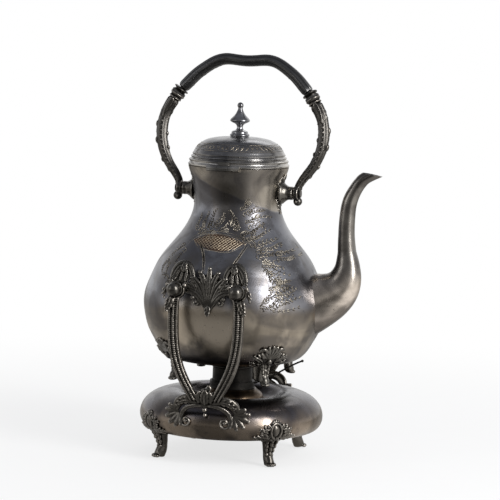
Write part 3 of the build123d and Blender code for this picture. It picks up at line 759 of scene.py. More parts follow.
    def leaf(self, host: Host, line: Points, width: float, high: float, lobes: int = 4,
             lean: float = 38.0) -> "Form":
        """Acanthus leaf: a midrib with lobes that lean forwards on its sides.

        Args:
            host: finds the position of a place.
            line: places of its midrib, from base to tip.
            width: half width over its widest lobes.
            high: how far it stands out.
            lobes: how many lobes a side has.
            lean: angle between midrib and lobes, in degrees.

        Returns:
            The form itself.
        """
        rib = SmoothLine([(*point, 0.0)[:3] if len(point) == 2 else point for point in line])
        self.ridge(host, rib.sample(7), [width * 0.16, width * 0.2, width * 0.14, width * 0.05],
                   [high * 0.9, high, high * 0.9, high * 0.6])
        for i in range(lobes):
            share = (i + 0.35) / (lobes + 0.35)
            root, ahead = rib.point(share), rib.heading(np.array([share * rib.length]))[0]
            size = width * (0.75 + 0.5 * sin(pi * min(1.0, share + 0.25))) * (1.05 - 0.55 * share)
            for hand in (-1, 1):
                angle = atan2(ahead[1], ahead[0]) + hand * radians(lean)
                tip_angle = angle - hand * radians(lean * 0.7)
                middle = (root[0] + 0.6 * size * cos(angle), root[1] + 0.6 * size * sin(angle),
                          root[2] + 0.15 * high)
                tip = (middle[0] + 0.6 * size * cos(tip_angle), middle[1] + 0.6 * size * sin(tip_angle),
                       root[2] + 0.3 * high)
                self.ridge(host, [tuple(root), middle, tip],
                           [size * 0.12, size * 0.26, size * 0.24, size * 0.08],
                           [high * 0.6, high * 0.8, high * 0.9, high * 0.5], groove=0.35, rings=10)
        return self

    def doubled(self, plane: str) -> "Form":
        """Adds the mirror image of everything so far."""
        geometry = self.bm.verts[:] + self.bm.edges[:] + self.bm.faces[:]
        made = bmesh.ops.duplicate(self.bm, geom=geometry)["geom"]
        corners, faces = ([part for part in made if isinstance(part, kind)]
                          for kind in (bmesh.types.BMVert, bmesh.types.BMFace))
        bmesh.ops.scale(self.bm, vec=MIRROR[plane], verts=corners)
        bmesh.ops.reverse_faces(self.bm, faces=faces)
        return self

    def flipped(self, plane: str) -> "Form":
        """The mirror image as a copy."""
        copy = Form()
        copy.bm = self.bm.copy()
        bmesh.ops.scale(copy.bm, vec=MIRROR[plane], verts=copy.bm.verts)
        bmesh.ops.reverse_faces(copy.bm, faces=copy.bm.faces)
        return copy

    def turned(self, degrees: float) -> "Form":
        """A copy, turned about Z."""
        copy = Form()
        copy.bm = self.bm.copy()
        bmesh.ops.rotate(copy.bm, cent=(0, 0, 0), matrix=Matrix.Rotation(radians(degrees), 3, "Z"),
                         verts=copy.bm.verts)
        return copy

    def capped(self) -> "Form":
        """Merges the form's seam and closes its open ends."""
        bmesh.ops.remove_doubles(self.bm, verts=self.bm.verts, dist=MERGE)
        bmesh.ops.holes_fill(self.bm, edges=[edge for edge in self.bm.edges if edge.is_boundary])
        return self

    def tidy(self) -> "Form":
        """Merges doubled points and turns the faces outwards."""
        bmesh.ops.remove_doubles(self.bm, verts=self.bm.verts, dist=MERGE)
        bmesh.ops.dissolve_degenerate(self.bm, edges=self.bm.edges, dist=1e-5)
        bmesh.ops.recalc_face_normals(self.bm, faces=self.bm.faces)
        return self

    def _worked(self, kind: str, settings: Mapping[str, Any]) -> "Form":
        """Runs one modifier on the mesh and keeps the result."""
        mesh = bpy.data.meshes.new("work")
        self.bm.to_mesh(mesh)
        work = bpy.data.objects.new("work", mesh)
        bpy.context.scene.collection.objects.link(work)
        modifier = work.modifiers.new(kind, kind)
        for name, value in settings.items():
            setattr(modifier, name, value)
        bpy.context.view_layer.update()
        result = bpy.data.meshes.new_from_object(work.evaluated_get(bpy.context.evaluated_depsgraph_get()))
        self.bm.clear()
        self.bm.from_mesh(result)
        bpy.data.objects.remove(work)
        bpy.data.meshes.remove(mesh)
        bpy.data.meshes.remove(result)
        return self

    def fused(self, voxel: float, rounds: int = 2) -> "Form":
        """Melts overlapping shapes into one skin, as a casting.

        Args:
            voxel: size of the melt's cells.
            rounds: how often the skin is smoothed.

        Returns:
            The form itself.
        """
        self.tidy()._worked("REMESH", {"mode": "VOXEL", "voxel_size": voxel})
        for _ in range(rounds):
            bmesh.ops.smooth_vert(self.bm, verts=self.bm.verts, factor=0.5, use_axis_x=True, use_axis_y=True,
                                  use_axis_z=True)
        return self

    def without(self, cutter: "Form") -> "Form":
        """Cuts another form out."""
        mesh = bpy.data.meshes.new("cutter")
        cutter.tidy().bm.to_mesh(mesh)
        tool = bpy.data.objects.new("cutter", mesh)
        bpy.context.scene.collection.objects.link(tool)
        self._worked("BOOLEAN", {"operation": "DIFFERENCE", "solver": "EXACT", "object": tool})
        bpy.data.objects.remove(tool)
        bpy.data.meshes.remove(mesh)
        return self


def relief_of(mesh: bpy.types.Mesh, rounds: int = 10, depth: float = 0.35) -> np.ndarray:
    """How far each point of a mesh stands above its smoothed surroundings.

    Args:
        mesh: a mesh in millimetres.
        rounds: how widely the surroundings reach.
        depth: height that counts as 1.

    Returns:
        A value from -1 in hollows to 1 on edges for each point.
    """
    count = len(mesh.vertices)
    points = np.zeros(count * 3)
    mesh.vertices.foreach_get("co", points)
    points = points.reshape(-1, 3)
    normals = np.zeros(count * 3)
    mesh.vertices.foreach_get("normal", normals)
    normals = normals.reshape(-1, 3)
    ends = np.zeros(len(mesh.edges) * 2, int)
    mesh.edges.foreach_get("vertices", ends)
    first, second = ends.reshape(-1, 2).T
    links = np.maximum(np.bincount(first, minlength=count) + np.bincount(second, minlength=count), 1)
    smooth = points.copy()
    for _ in range(rounds):
        total = np.stack([np.bincount(first, smooth[second, i], count)
                          + np.bincount(second, smooth[first, i], count)
                          for i in range(3)], axis=1)
        smooth = 0.5 * smooth + 0.5 * total / links[:, None]
    return np.clip(((points - smooth) * normals).sum(axis=1) / depth, -1, 1)


@dataclass
class Bench:
    """Where forms become pieces of the object.

    Attributes:
        materials: the finished material of each slot.
        axis: X of the kettle's axis in metres.
        sharp: angle in degrees from which an edge stays crisp.
        pieces: everything placed so far.
    """

    materials: dict[Slot, bpy.types.Material]
    axis: float
    sharp: float = 38.0
    pieces: list[bpy.types.Object] = field(default_factory=list)

    def place(self, form: Form, name: str, body: Body, slot: Slot, *nodes: str, cast: bool = False,
              material: bpy.types.Material | None = None) -> bpy.types.Object:
        """Turns a form into a piece that rides on a body.

        Args:
            form: the mesh, in millimetres.
            name: the piece's name.
            body: the body that it moves with.
            slot: the slot that its finish comes from.
            nodes: the solids that it stands for.
            cast: whether its material reads the relief of the mesh.
            material: a finish other than the slot's own.

        Returns:
            The piece.
        """
        if not cast:
            form.tidy()
            for edge in form.bm.edges:
                edge.smooth = len(edge.link_faces) != 2 or edge.calc_face_angle() < radians(self.sharp)
        for face in form.bm.faces:
            face.smooth = True
        mesh = bpy.data.meshes.new(name)
        form.bm.to_mesh(mesh)
        form.bm.free()
        if cast:
            mesh.attributes.new("relief", "FLOAT", "POINT").data.foreach_set("value", relief_of(mesh))
        mesh.transform(Matrix.Translation((self.axis, 0, 0)) @ Matrix.Scale(MM, 4))
        mesh.materials.append(material or self.materials[slot])
        piece = bpy.data.objects.new(name, mesh)
        bpy.context.scene.collection.objects.link(piece)
        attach(piece, body.value)
        if nodes:
            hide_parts(*nodes)
        self.pieces.append(piece)
        LOG.info("%s: %d faces, rides on %s", name, len(mesh.polygons), body.value)
        return piece

    def pair(self, form: Form, plane: str, names: tuple[str, str], body: Body, slot: Slot,
             cast: bool = True) -> None:
        """Places a form and its mirror image, each for one solid.

        Args:
            form: the near or front one, in millimetres.
            plane: the plane between the two, X or Y.
            names: names of piece and solid, without their side.
            body: the body that both move with.
            slot: the slot that their finish comes from.
            cast: whether their material reads the relief of the mesh.
        """
        for side, half in zip(BOTH_SIDES[plane], (form, form.flipped(plane))):
            self.place(half, f"{names[0]}_{side}", body, slot, f"{names[1]}_{side}", cast=cast)

    def dress_nodes(self, frame: Mapping[str, Any]) -> None:
        """Gives every solid of the frame its slot's finish."""
        slots = {row["node"]: Slot(row["material_slot"]) for row in frame["record"]["subparts"]}
        for name, node in frame["nodes"].items():
            node.data.materials.clear()
            node.data.materials.append(self.materials[slots[name]])
        LOG.info("dressed %d solids", len(frame["nodes"]))


@dataclass(frozen=True)
class Lamp:
    """Soft rectangular lamp.

    Attributes:
        name: its name.
        turn: direction in degrees to the right of the camera.
        rise: angle above the ground in degrees.
        distance: distance from the object's middle in metres.
        size: width and height in metres.
        radiance: brightness of its face, where 1 is white.
    """

    name: str
    turn: float
    rise: float
    distance: float
    size: tuple[float, float]
    radiance: float


LAMPS = (Lamp("key light", 47, 23, 1.7, (0.44, 1.15), 15.0),
         Lamp("fill light", -62, 20, 1.9, (0.6, 1.1), 1.6), Lamp("back light", 165, 40, 2.0, (0.9, 0.6), 1.6))


@dataclass
class Stage:
    """Camera, lights, floor and white surroundings.

    Attributes:
        axis: X of the kettle's axis in metres.
        azimuth: direction of the camera about the object, in degrees from -Y towards +X.
        distance: its distance from the axis.
        height: its height.
        side: how far the picture's middle lies to the right of the axis.
        aim: height of the picture's middle on the axis.
        roll: how far the object leans to the right in the picture, in degrees.
        lens: focal length in millimetres.
        film: width of the camera's frame in millimetres.
        floor_size: width of the floor.
        middle: height of the object's middle in metres.
        ceiling: what polished metal shows above.
        bright_wall: what it shows to the right.
        dark_front: what it shows where the camera stands.
        ambient: what falls on everything that is no mirror.
        painted_floor_glow: what polished metal sees of the floor behind, in front and on the right: painted
            shade in front, a painted pool of light on the right.
    """

    axis: float
    azimuth: float = 16.0
    distance: float = 2480.0
    height: float = 466.0
    side: float = 13.8
    aim: float = 205.6
    roll: float = 1.75
    lens: float = 179.5
    film: float = 36.0
    floor_size: float = 12000.0
    middle: float = 0.2
    ceiling: Colour = (0.26, 0.27, 0.30)
    bright_wall: Colour = (0.95, 0.95, 0.97)
    dark_front: Colour = (0.12, 0.115, 0.11)
    ambient: Colour = (0.55, 0.56, 0.58)
    painted_floor_glow: tuple[Colour, Colour, Colour] = ((0.52, 0.50, 0.47), (0.07, 0.066, 0.06), (1.0, 0.98, 0.95))

    def camera(self) -> None:
        """Places the camera at the photograph's viewing angle."""
        turn = radians(self.azimuth)
        back, right = Vector((sin(turn), -cos(turn), 0)), Vector((cos(turn), sin(turn), 0))
        eye = back * self.distance + right * self.side + Vector((0, 0, self.height))
        aim = right * self.side + Vector((0, 0, self.aim))
        data = bpy.data.cameras.new("camera")
        data.sensor_width = self.film
        data.lens = self.lens
        camera = bpy.data.objects.new("camera", data)
        look = (aim - eye).to_track_quat("-Z", "Y").to_matrix().to_4x4()
        eye = eye * MM + Vector((self.axis, 0, 0))
        camera.matrix_world = Matrix.Translation(eye) @ look @ Matrix.Rotation(radians(self.roll), 4, "Z")
        bpy.context.scene.collection.objects.link(camera)
        bpy.context.scene.camera = camera

    def lamp(self, lamp: Lamp) -> None:
        """Sets up one lamp, which faces the object's middle."""
        angle, up = radians(self.azimuth + lamp.turn), radians(lamp.rise)
        way = Vector((sin(angle) * cos(up), -cos(angle) * cos(up), sin(up)))
        data = bpy.data.lights.new(lamp.name, "AREA")
        data.shape = "RECTANGLE"
        data.size, data.size_y = lamp.size
        data.energy = lamp.radiance * pi * lamp.size[0] * lamp.size[1]
        made = bpy.data.objects.new(lamp.name, data)
        spot = Vector((self.axis, 0, self.middle)) + way * lamp.distance
        made.matrix_world = Matrix.Translation(spot) @ way.to_track_quat("Z", "Y").to_matrix().to_4x4()
        bpy.context.scene.collection.objects.link(made)

    def towards(self, paint: Paint, way: Value, turn: float) -> Value:
        """How far a direction faces another one that lies turn degrees to the right of the camera."""
        angle = radians(self.azimuth + turn)
        level = paint.node("ShaderNodeVectorMath", {0: way}, operation="NORMALIZE")
        return paint.node("ShaderNodeVectorMath", {0: level, 1: (sin(angle), -cos(angle), 0.0)},
                          output="Value", operation="DOT_PRODUCT")

    def surroundings(self) -> None:
        """White all round near the ground, with a dim ceiling that polished metal shows above."""
        world = bpy.data.worlds.new("surroundings")
        bpy.context.scene.world = world
        paint = Paint(world)
        way = paint.node("ShaderNodeTexCoord", output="Generated")
        rise = paint.node("ShaderNodeSeparateXYZ", {0: way}, output="Z")
        rays = paint.node("ShaderNodeLightPath", output="Is Camera Ray")
        mirror = (rays.also("Is Glossy Ray") + rays.also("Is Transmission Ray")).ramp(0.0, 1.0)
        room = paint.mix(rise.ramp(0.08, 0.32), WHITE, self.ceiling)
        behind = self.towards(paint, way, 180).ramp(0.2, 0.8) * rise.ramp(0.72, 0.45)
        room = paint.mix(behind, room, WHITE)
        room = paint.mix(self.towards(paint, way, 78).ramp(0.25, 0.9) * 0.42, room, self.bright_wall)
        room = paint.mix(self.towards(paint, way, -16).ramp(0.42, 0.95) * 0.6, room, self.dark_front)
        light = paint.mix(mirror, self.ambient, room)
        light = paint.mix(rays, light, WHITE)
        paint.node("ShaderNodeOutputWorld", {"Surface": paint.node("ShaderNodeBackground", {"Color": light})})

    def floor(self) -> None:
        """Plain pale floor that keeps the object's shadow, and shows polished metal a painted shade in front
        and a painted pool of light on the right.
        """
        form = Form()
        bmesh.ops.create_grid(form.bm, x_segments=1, y_segments=1, size=self.floor_size * MM / 2)
        mesh = bpy.data.meshes.new("floor")
        form.bm.to_mesh(mesh)
        paint = Paint(bpy.data.materials.new("pale floor"))
        grain = paint.noise(30, 2)
        matt = paint.node("ShaderNodeBsdfPrincipled", {
            "Base Color": paint.mix(grain, (0.86, 0.86, 0.86), (0.9, 0.9, 0.9)), "Roughness": 0.9,
            "Specular IOR Level": 0.1})
        rays = paint.node("ShaderNodeLightPath", output="Is Camera Ray")
        spot = paint.place()
        behind, front, right = self.painted_floor_glow
        # painted shade in front of the object and a painted pool of light on its right, seen only by polished
        # metal
        painted_floor_light = paint.mix(self.towards(paint, spot, -14).ramp(0.3, 0.92), behind, front)
        painted_floor_light = paint.mix(self.towards(paint, spot, 62).ramp(0.68, 0.92), painted_floor_light, right)
        glow = paint.node("ShaderNodeEmission", {"Color": paint.mix(rays, painted_floor_light, WHITE), "Strength": 1.0})
        seen = rays + rays.also("Is Glossy Ray") + rays.also("Is Transmission Ray")
        away = paint.node("ShaderNodeVectorMath", {0: paint.place()}, output="Value", operation="LENGTH")
        share = seen.ramp(0.0, 1.0) * (0.72 + 0.28 * away.ramp(0.25, 0.9))
        shader = paint.node("ShaderNodeMixShader", {0: share, 1: matt, 2: glow})
        paint.node("ShaderNodeOutputMaterial", {"Surface": shader})
        mesh.materials.append(paint.holder)
        floor = bpy.data.objects.new("floor", mesh)
        bpy.context.scene.collection.objects.link(floor)

    def build(self) -> None:
        """Sets up everything that isn't the object."""
        bpy.context.scene.view_settings.view_transform = "Standard"
        self.camera()
        self.surroundings()
        self.floor()
        for lamp in LAMPS:
            self.lamp(lamp)


@dataclass
class Walls:
    """Turned walls that several castings sit on.

    Attributes:
        kettle: radius and height of the kettle's outside, from its floor to its mouth.
        base: radius and height of the stand's outside, from the well over the crest to the lip.
        wall: thickness of the metal.
    """

    kettle: Points = ((45, 95), (58, 96), (66.5, 99), (73, 104.5), (80, 115.5), (85.4, 125.5), (89.2, 138.5),
                      (91, 153), (89.6, 164), (86.2, 173.6), (81.2, 185.5), (76.4, 195), (69.3, 205),
                      (61.2, 215), (53.6, 225), (47.9, 235), (44.3, 245), (43.2, 254), (44.2, 266),
                      (46.3, 278), (49.2, 285.5), (50.2, 289.5))
    base: Points = ((38, 54), (44, 57), (50, 61.6), (57, 64), (68, 63.2), (80, 58.8), (88.2, 51.4),
                    (91.8, 42.0), (90.4, 33.2), (85.6, 27.8), (78, 26))
    wall: float = 1.4

    def __post_init__(self) -> None:
        """Samples both outlines finely."""
        self.kettle_line = SmoothLine(self.kettle).sample(240)
        self.base_line = SmoothLine(self.base).sample(160)

    def on_kettle(self, facing: float = -90.0) -> Hug:
        """Host on the kettle's outside."""
        return Hug(self.kettle_line, facing)

    def on_base(self, facing: float = -90.0) -> Hug:
        """Host on the outer side of the stand's base, from its crest down."""
        crest = int(np.argmax(self.base_line[:, 1]))
        return Hug(self.base_line[crest:], facing)


def offset(line: np.ndarray, distance: float) -> np.ndarray:
    """Outline moved square to itself, to the left of its run."""
    step = np.gradient(line, axis=0)
    step /= np.linalg.norm(step, axis=1)[:, None]
    return line + distance * np.stack([-step[:, 1], step[:, 0]], axis=1)


@dataclass
class Kettle:
    """Pear-shaped body and its spout.

    Attributes:
        walls: the turned walls.
        mouth: height of the mouth.
        floor: height of the flat floor.
        stations: the spout's middle (X, Z), half height, half width and heading in degrees.
        spout_wall: thickness of the spout's metal.
        notch: middle and radius of the notch behind the beak.
    """

    walls: Walls
    mouth: float = 289.5
    floor: float = 95.0
    stations: Points = ((60, 146.5, 32.0, 25.0, 25.4), (80, 156.0, 28.5, 22.0, 26.9),
                        (98, 165.8, 24.8, 18.8, 32.5), (107.5, 173.5, 20.8, 16.4, 49.3),
                        (113.2, 183.5, 16.6, 14.0, 71.1), (115.2, 196, 12.4, 11.4, 88.3),
                        (114, 210.5, 9.2, 9.0, 94.2), (112.9, 227, 8.2, 8.1, 91.1),
                        (113.3, 246, 7.8, 7.7, 85.1), (115.9, 262, 7.4, 7.3, 75.7),
                        (121.0, 272.8, 6.7, 7.0, 68.4), (126.9, 280.9, 6.9, 6.8, 71.6),
                        (137.2, 287.6, 10.3, 5.6, 81.4))
    spout_wall: float = 1.2
    notch: Points = (130.2, 287.6, 2.2)

    def _tube(self, thinner: float, reach: float) -> Form:
        """Loft of ovals along the spout's line, thinner by a wall and longer by a reach."""
        rows = np.array(self.stations, float)
        line = side_line(rows)
        form = Form()
        verts, along, about = form._grid(96, 40)
        middle = line.at(along * line.length)
        tall, wide, heading = (np.interp(along * line.length, line.knots, rows[:, i]) for i in (2, 3, 4))
        lean, angle = np.radians(heading), 2 * pi * about
        up = np.stack([-np.sin(lean), np.zeros(len(lean)), np.cos(lean)], axis=1)
        ahead = np.stack([np.cos(lean), np.zeros(len(lean)), np.sin(lean)], axis=1)
        side = np.array([0.0, 1.0, 0.0])
        sharp = 1 - 0.6 * along ** 12 * ((1 - np.sin(angle)) / 2) ** 3
        places = (middle + ahead * (reach * along ** 8)[:, None]
                  + ((wide - thinner) * np.cos(angle) * sharp)[:, None] * side
                  + ((tall - thinner) * np.sin(angle))[:, None] * up)
        form._move(verts, places)
        return form.capped()

    def body(self, bench: Bench) -> None:
        """Builds the body as one thin wall, open where the spout leaves it."""
        outside = SmoothLine(self.walls.kettle).sample(110)
        inside = offset(outside, self.walls.wall)[::2]
        inside = inside[(inside[:, 1] > self.floor + self.walls.wall) & (inside[:, 1] < self.mouth - 1)]
        rim = [(outside[-1, 0] - 0.4, self.mouth), (inside[-1, 0] + 0.3, self.mouth)]
        outline = [(0.0, self.floor), *outside.tolist(), *rim, *inside[::-1].tolist(),
                   (0.0, self.floor + self.walls.wall)]
        form = Form().turn(outline, 192).tidy().without(self._tube(self.spout_wall, 0.0))
        bench.place(form, "kettle_wall", Body.KETTLE, Slot.KETTLE, "kettle_floor", "kettle_bowl",
                    "kettle_shoulder", "kettle_neck")

    def spout(self, bench: Bench) -> None:
        """Builds the hollow spout with its beak."""
        core = Form().turn([(0.0, self.floor), *self.walls.kettle_line.tolist(), (0.0, self.mouth)], 128)
        x, z, r = self.notch
        across = SmoothLine([(x, -30, z), (x, 30, z)])
        cut = Form().bar(across, [r] * 2, sides=24, rings=2, blunt=200).capped()
        bore = self._tube(self.spout_wall, 1.0)
        form = self._tube(0.0, 0.0).tidy().without(bore).without(core).without(cut)
        # the spout's plate paints in the same reflection: the dim room above, the lit table below
        finish = PlateFinish("spout plate", (0.23, 0.215, 0.195), (0.36, 0.32, 0.28), (0.06, 0.052, 0.048),
                             0.176, 0.186, 0.27).material()
        bench.place(form, "spout_horn", Body.KETTLE, Slot.KETTLE, "spout", material=finish)

    def build(self, bench: Bench) -> None:
        """Makes the pieces."""
        self.body(bench)
        self.spout(bench)


ENGRAVED: dict[str, PlainFinish] = {
    "engraving": PlainFinish("engraved cuts", (0.50, 0.45, 0.37), (0.15, 0.13, 0.105), 1.0, 0.5, 300.0),
    # shading: dark cuts of painted shade, the shaded side beside the bright cuts
    "shading": PlainFinish("shaded cuts", (0.05, 0.045, 0.042), (0.015, 0.014, 0.013), 1.0, 0.45, 300.0),
    "lattice_ground": PlainFinish("lattice ground", (0.20, 0.12, 0.08), (0.10, 0.075, 0.065), 1.0, 0.38),
    "lattice": PlainFinish("lattice cuts", (0.62, 0.52, 0.38), (0.40, 0.33, 0.25), 1.0, 0.5),
}


@dataclass
class Engraving:
    """Cut ornament on the body: a lattice crescent with straps, daisies and leafy sprays.

    Attributes:
        walls: the turned walls.
        proud: how far a cut's burr stands out.
        sprays: places of the stems, from root to tip.
        daisies: place and radius of each flower.
        top: upper edge of the lattice crescent.
        bottom: its lower edge.
        straps: places along the curved straps.
        pitch: distance between the lattice's lines.
    """

    walls: Walls
    proud: float = 0.17
    sprays: Sequence[Points] = (
        ((-16, 230), (-13, 240), (-8, 250)), ((-8, 230.5), (-2.5, 237), (0, 246)),
        ((-25, 223.5), (-15, 227), (-5, 227)), ((-22, 227), (-20, 237), (-17, 246)),
        ((-27, 226), (-28, 234), (-25, 243)), ((8, 232), (9, 240), (5, 249)),
        ((14, 248.7), (18.3, 252.3), (22.4, 260.8)), ((22, 244), (28, 248), (35, 248.6)),
        ((20, 236), (27, 240), (33, 238)), ((17, 226), (25, 227.5), (32, 232)),
        ((25.4, 219), (33, 224), (40, 228)), ((28, 221), (31, 230), (36, 237)),
        ((32, 214.5), (40.7, 217), (49, 222)), ((36, 208.3), (47, 207), (56, 210)),
        ((38, 212), (46, 213.5), (54, 217)), ((51, 208), (60, 209), (66, 214)),
        ((43.9, 203.8), (53.3, 198), (62.5, 195)), ((44, 200), (50, 193), (60, 188)),
        ((50, 194), (54, 186), (62, 181)), ((57, 187), (62, 183.4), (69, 182)),
        ((52, 176), (59, 178), (66, 184)), ((51.6, 162.4), (58.7, 170), (68, 177)),
        ((55, 158.8), (63, 160), (73.5, 165)), ((58, 170), (66, 170), (73, 174)),
        ((47, 158), (53, 166), (56, 176)), ((-52, 200), (-57, 194), (-60, 186)),
        ((-32, 178), (-38, 184), (-45, 187)), ((-44, 176), (-50, 182), (-58, 184)),
        ((-36, 214), (-44, 209), (-51, 202)),
    )
    daisies: Sequence[tuple[float, float, float]] = ((14.3, 232.1, 3.2), (4.3, 229.8, 2.4),
                                                     (22.4, 255.9, 2.6), (46, 201.5, 2.8), (-21, 233, 2.2),
                                                     (30, 243.5, 2.3), (60, 176.5, 2.6), (64.5, 203.5, 2.2),
                                                     (-9, 226.5, 2.0))
    top: Points = ((-29, 219), (-24, 222.3), (-12, 225.2), (2, 225.6), (14, 223.6), (25, 219.6), (34, 214.4))
    bottom: Points = ((-29, 218.4), (-22, 212.6), (-8, 210.4), (4, 209.2), (12, 209.6), (20, 213.4),
                      (27, 217.8))
    straps: Sequence[Points] = (((-24, 219), (-17.5, 211), (-12.5, 200), (-11, 190)),
                                ((26, 217), (20.7, 205), (16.5, 195), (14.5, 184)))
    pitch: float = 3.5

    def _cut(self, form: Form, host: Host, line: Points, half: float, rings: int = 4, sides: int = 4) -> None:
        """Adds one fine raised cut that fades at its ends."""
        form.ridge(host, line, [half * 0.4, half, half, half * 0.3], [self.proud] * 2, sink=0.25, rings=rings,
                   sides=sides)

    def _leaf(self, form: Form, host: Host, line: Points, half: float) -> None:
        """Adds one small pointed leaf."""
        form.ridge(host, line, [half * 0.25, half, half * 0.75, half * 0.1], [self.proud] * 2, sink=0.25,
                   rings=4, sides=4)

    def _spray(self, bright: Form, dark: Form, host: Host, stem: Points, leaves: int = 8,
               length: float = 4.2) -> None:
        """Adds a curved stem with pointed leaves on both sides, each a bright cut beside a dark one of
        painted shade.
        """
        line = SmoothLine([(*place, 0.0) for place in stem])
        self._cut(dark, host, line.sample(5), 0.24, 8)
        for i in range(leaves):
            share = (i + 0.5) / leaves
            root, ahead = line.point(share), line.heading(np.array([share * line.length]))[0]
            for hand in (-1, 1):
                size = length * (1.1 - 0.6 * share) * (0.85 + 0.3 * cos(5.3 * i + hand + stem[0][1]))
                lean = 50 + 20 * sin(7.1 * i + 2 * hand + stem[0][0])
                angle = atan2(ahead[1], ahead[0]) + hand * radians(lean)
                bend = angle - hand * radians(34)
                middle = (root[0] + 0.55 * size * cos(angle), root[1] + 0.55 * size * sin(angle))
                tip = (middle[0] + 0.5 * size * cos(bend), middle[1] + 0.5 * size * sin(bend))
                leaf = [tuple(root[:2]), middle, tip]
                self._leaf(bright, host, leaf, 0.42)
                # the twin is painted shade beside the bright leaf
                twin = [(x + 0.5 * sin(angle), z - 0.5 * cos(angle)) for x, z in leaf]
                self._leaf(dark, host, twin, 0.36)

    def _daisy(self, form: Form, host: Host, across: float, up: float, radius: float) -> None:
        """Adds a flower of seven petals round a bead."""
        for i in range(7):
            angle = 2 * pi * i / 7 + 0.3
            petal = [(across + radius * share * cos(angle), up + radius * share * sin(angle))
                     for share in (0.35, 0.675, 1.0)]
            form.ridge(host, petal, [0.3, 0.62, 0.5], [self.proud * 1.3] * 2, sink=0.25, rings=4, sides=6)
        form.bead(host, (across, up, 0.0), radius * 0.26, (1, 1, 0.4), 1)

    def _lattice(self, form: Form, host: Host) -> None:
        """Adds crossing lines between the crescent's two edges."""
        upper, lower = np.array(self.top), np.array(self.bottom)
        for slope in (-1, 1):
            for start in np.arange(-50, 52, self.pitch):
                span = np.linspace(-29, 27, 113)
                height = 216 + slope * (span - start) * 0.8
                inside = ((height < np.interp(span, upper[:, 0], upper[:, 1]) - 0.4)
                          & (height > np.interp(span, lower[:, 0], lower[:, 1]) + 0.4))
                if inside.sum() > 3:
                    line = np.stack([span[inside], height[inside]], axis=1)
                    form.ridge(host, line[[0, len(line) // 2, -1]], [0.27] * 2, [0.24] * 2, sink=0.2, rings=6,
                               sides=4)

    def build(self, bench: Bench) -> None:
        """Makes the near side's cuts and the crescent's ground, and turns both to the far side."""
        host = self.walls.on_kettle()
        cuts, shades, ground, lattice = Form(), Form(), Form(), Form()
        for stem in self.sprays:
            self._spray(cuts, shades, host, stem)
            beside = [(x + 2.4 + 2.0 * i, z - 3.2 - 1.8 * i) for i, (x, z) in enumerate(stem)]
            self._spray(cuts, shades, host, beside, 6, 3.6)
        for across, up, radius in self.daisies:
            self._daisy(cuts, host, across, up, radius)
        self._lattice(lattice, host)
        arc = ((-36, 212.5), *self.top, (43, 207.5))
        for line, half in ((arc, 0.38), (self.bottom, 0.3), *((strap, 0.34) for strap in self.straps)):
            self._cut(cuts, host, line, half, 24, 6)
        self._cut(cuts, host, [(x - 0.6, z + 2.2) for x, z in arc], 0.28, 24, 6)
        for strap in self.straps:
            # painted shade beside each strap's bright cut
            self._cut(shades, host, [(x + 1.1, z) for x, z in strap], 0.7, 24, 6)
            self._cut(cuts, host, [(x + 2.2, z) for x, z in strap], 0.26, 24, 6)
        middle = [(x, (z + np.interp(x, *np.array(self.bottom).T)) / 2) for x, z in self.top[:6]]
        ground.ridge(host, middle, [0.6, 4.4, 7.2, 8.0, 7.0, 3.8, 0.4], [0.05] * 2, sink=0.3, rings=40,
                     sides=16)
        for (kind, finish), form in zip(ENGRAVED.items(), (cuts, shades, ground, lattice)):
            material = finish.material()
            for side, turned in (("near", form), ("far", form.turned(180))):
                bench.place(turned, f"{kind}_{side}", Body.KETTLE, Slot.KETTLE, material=material)


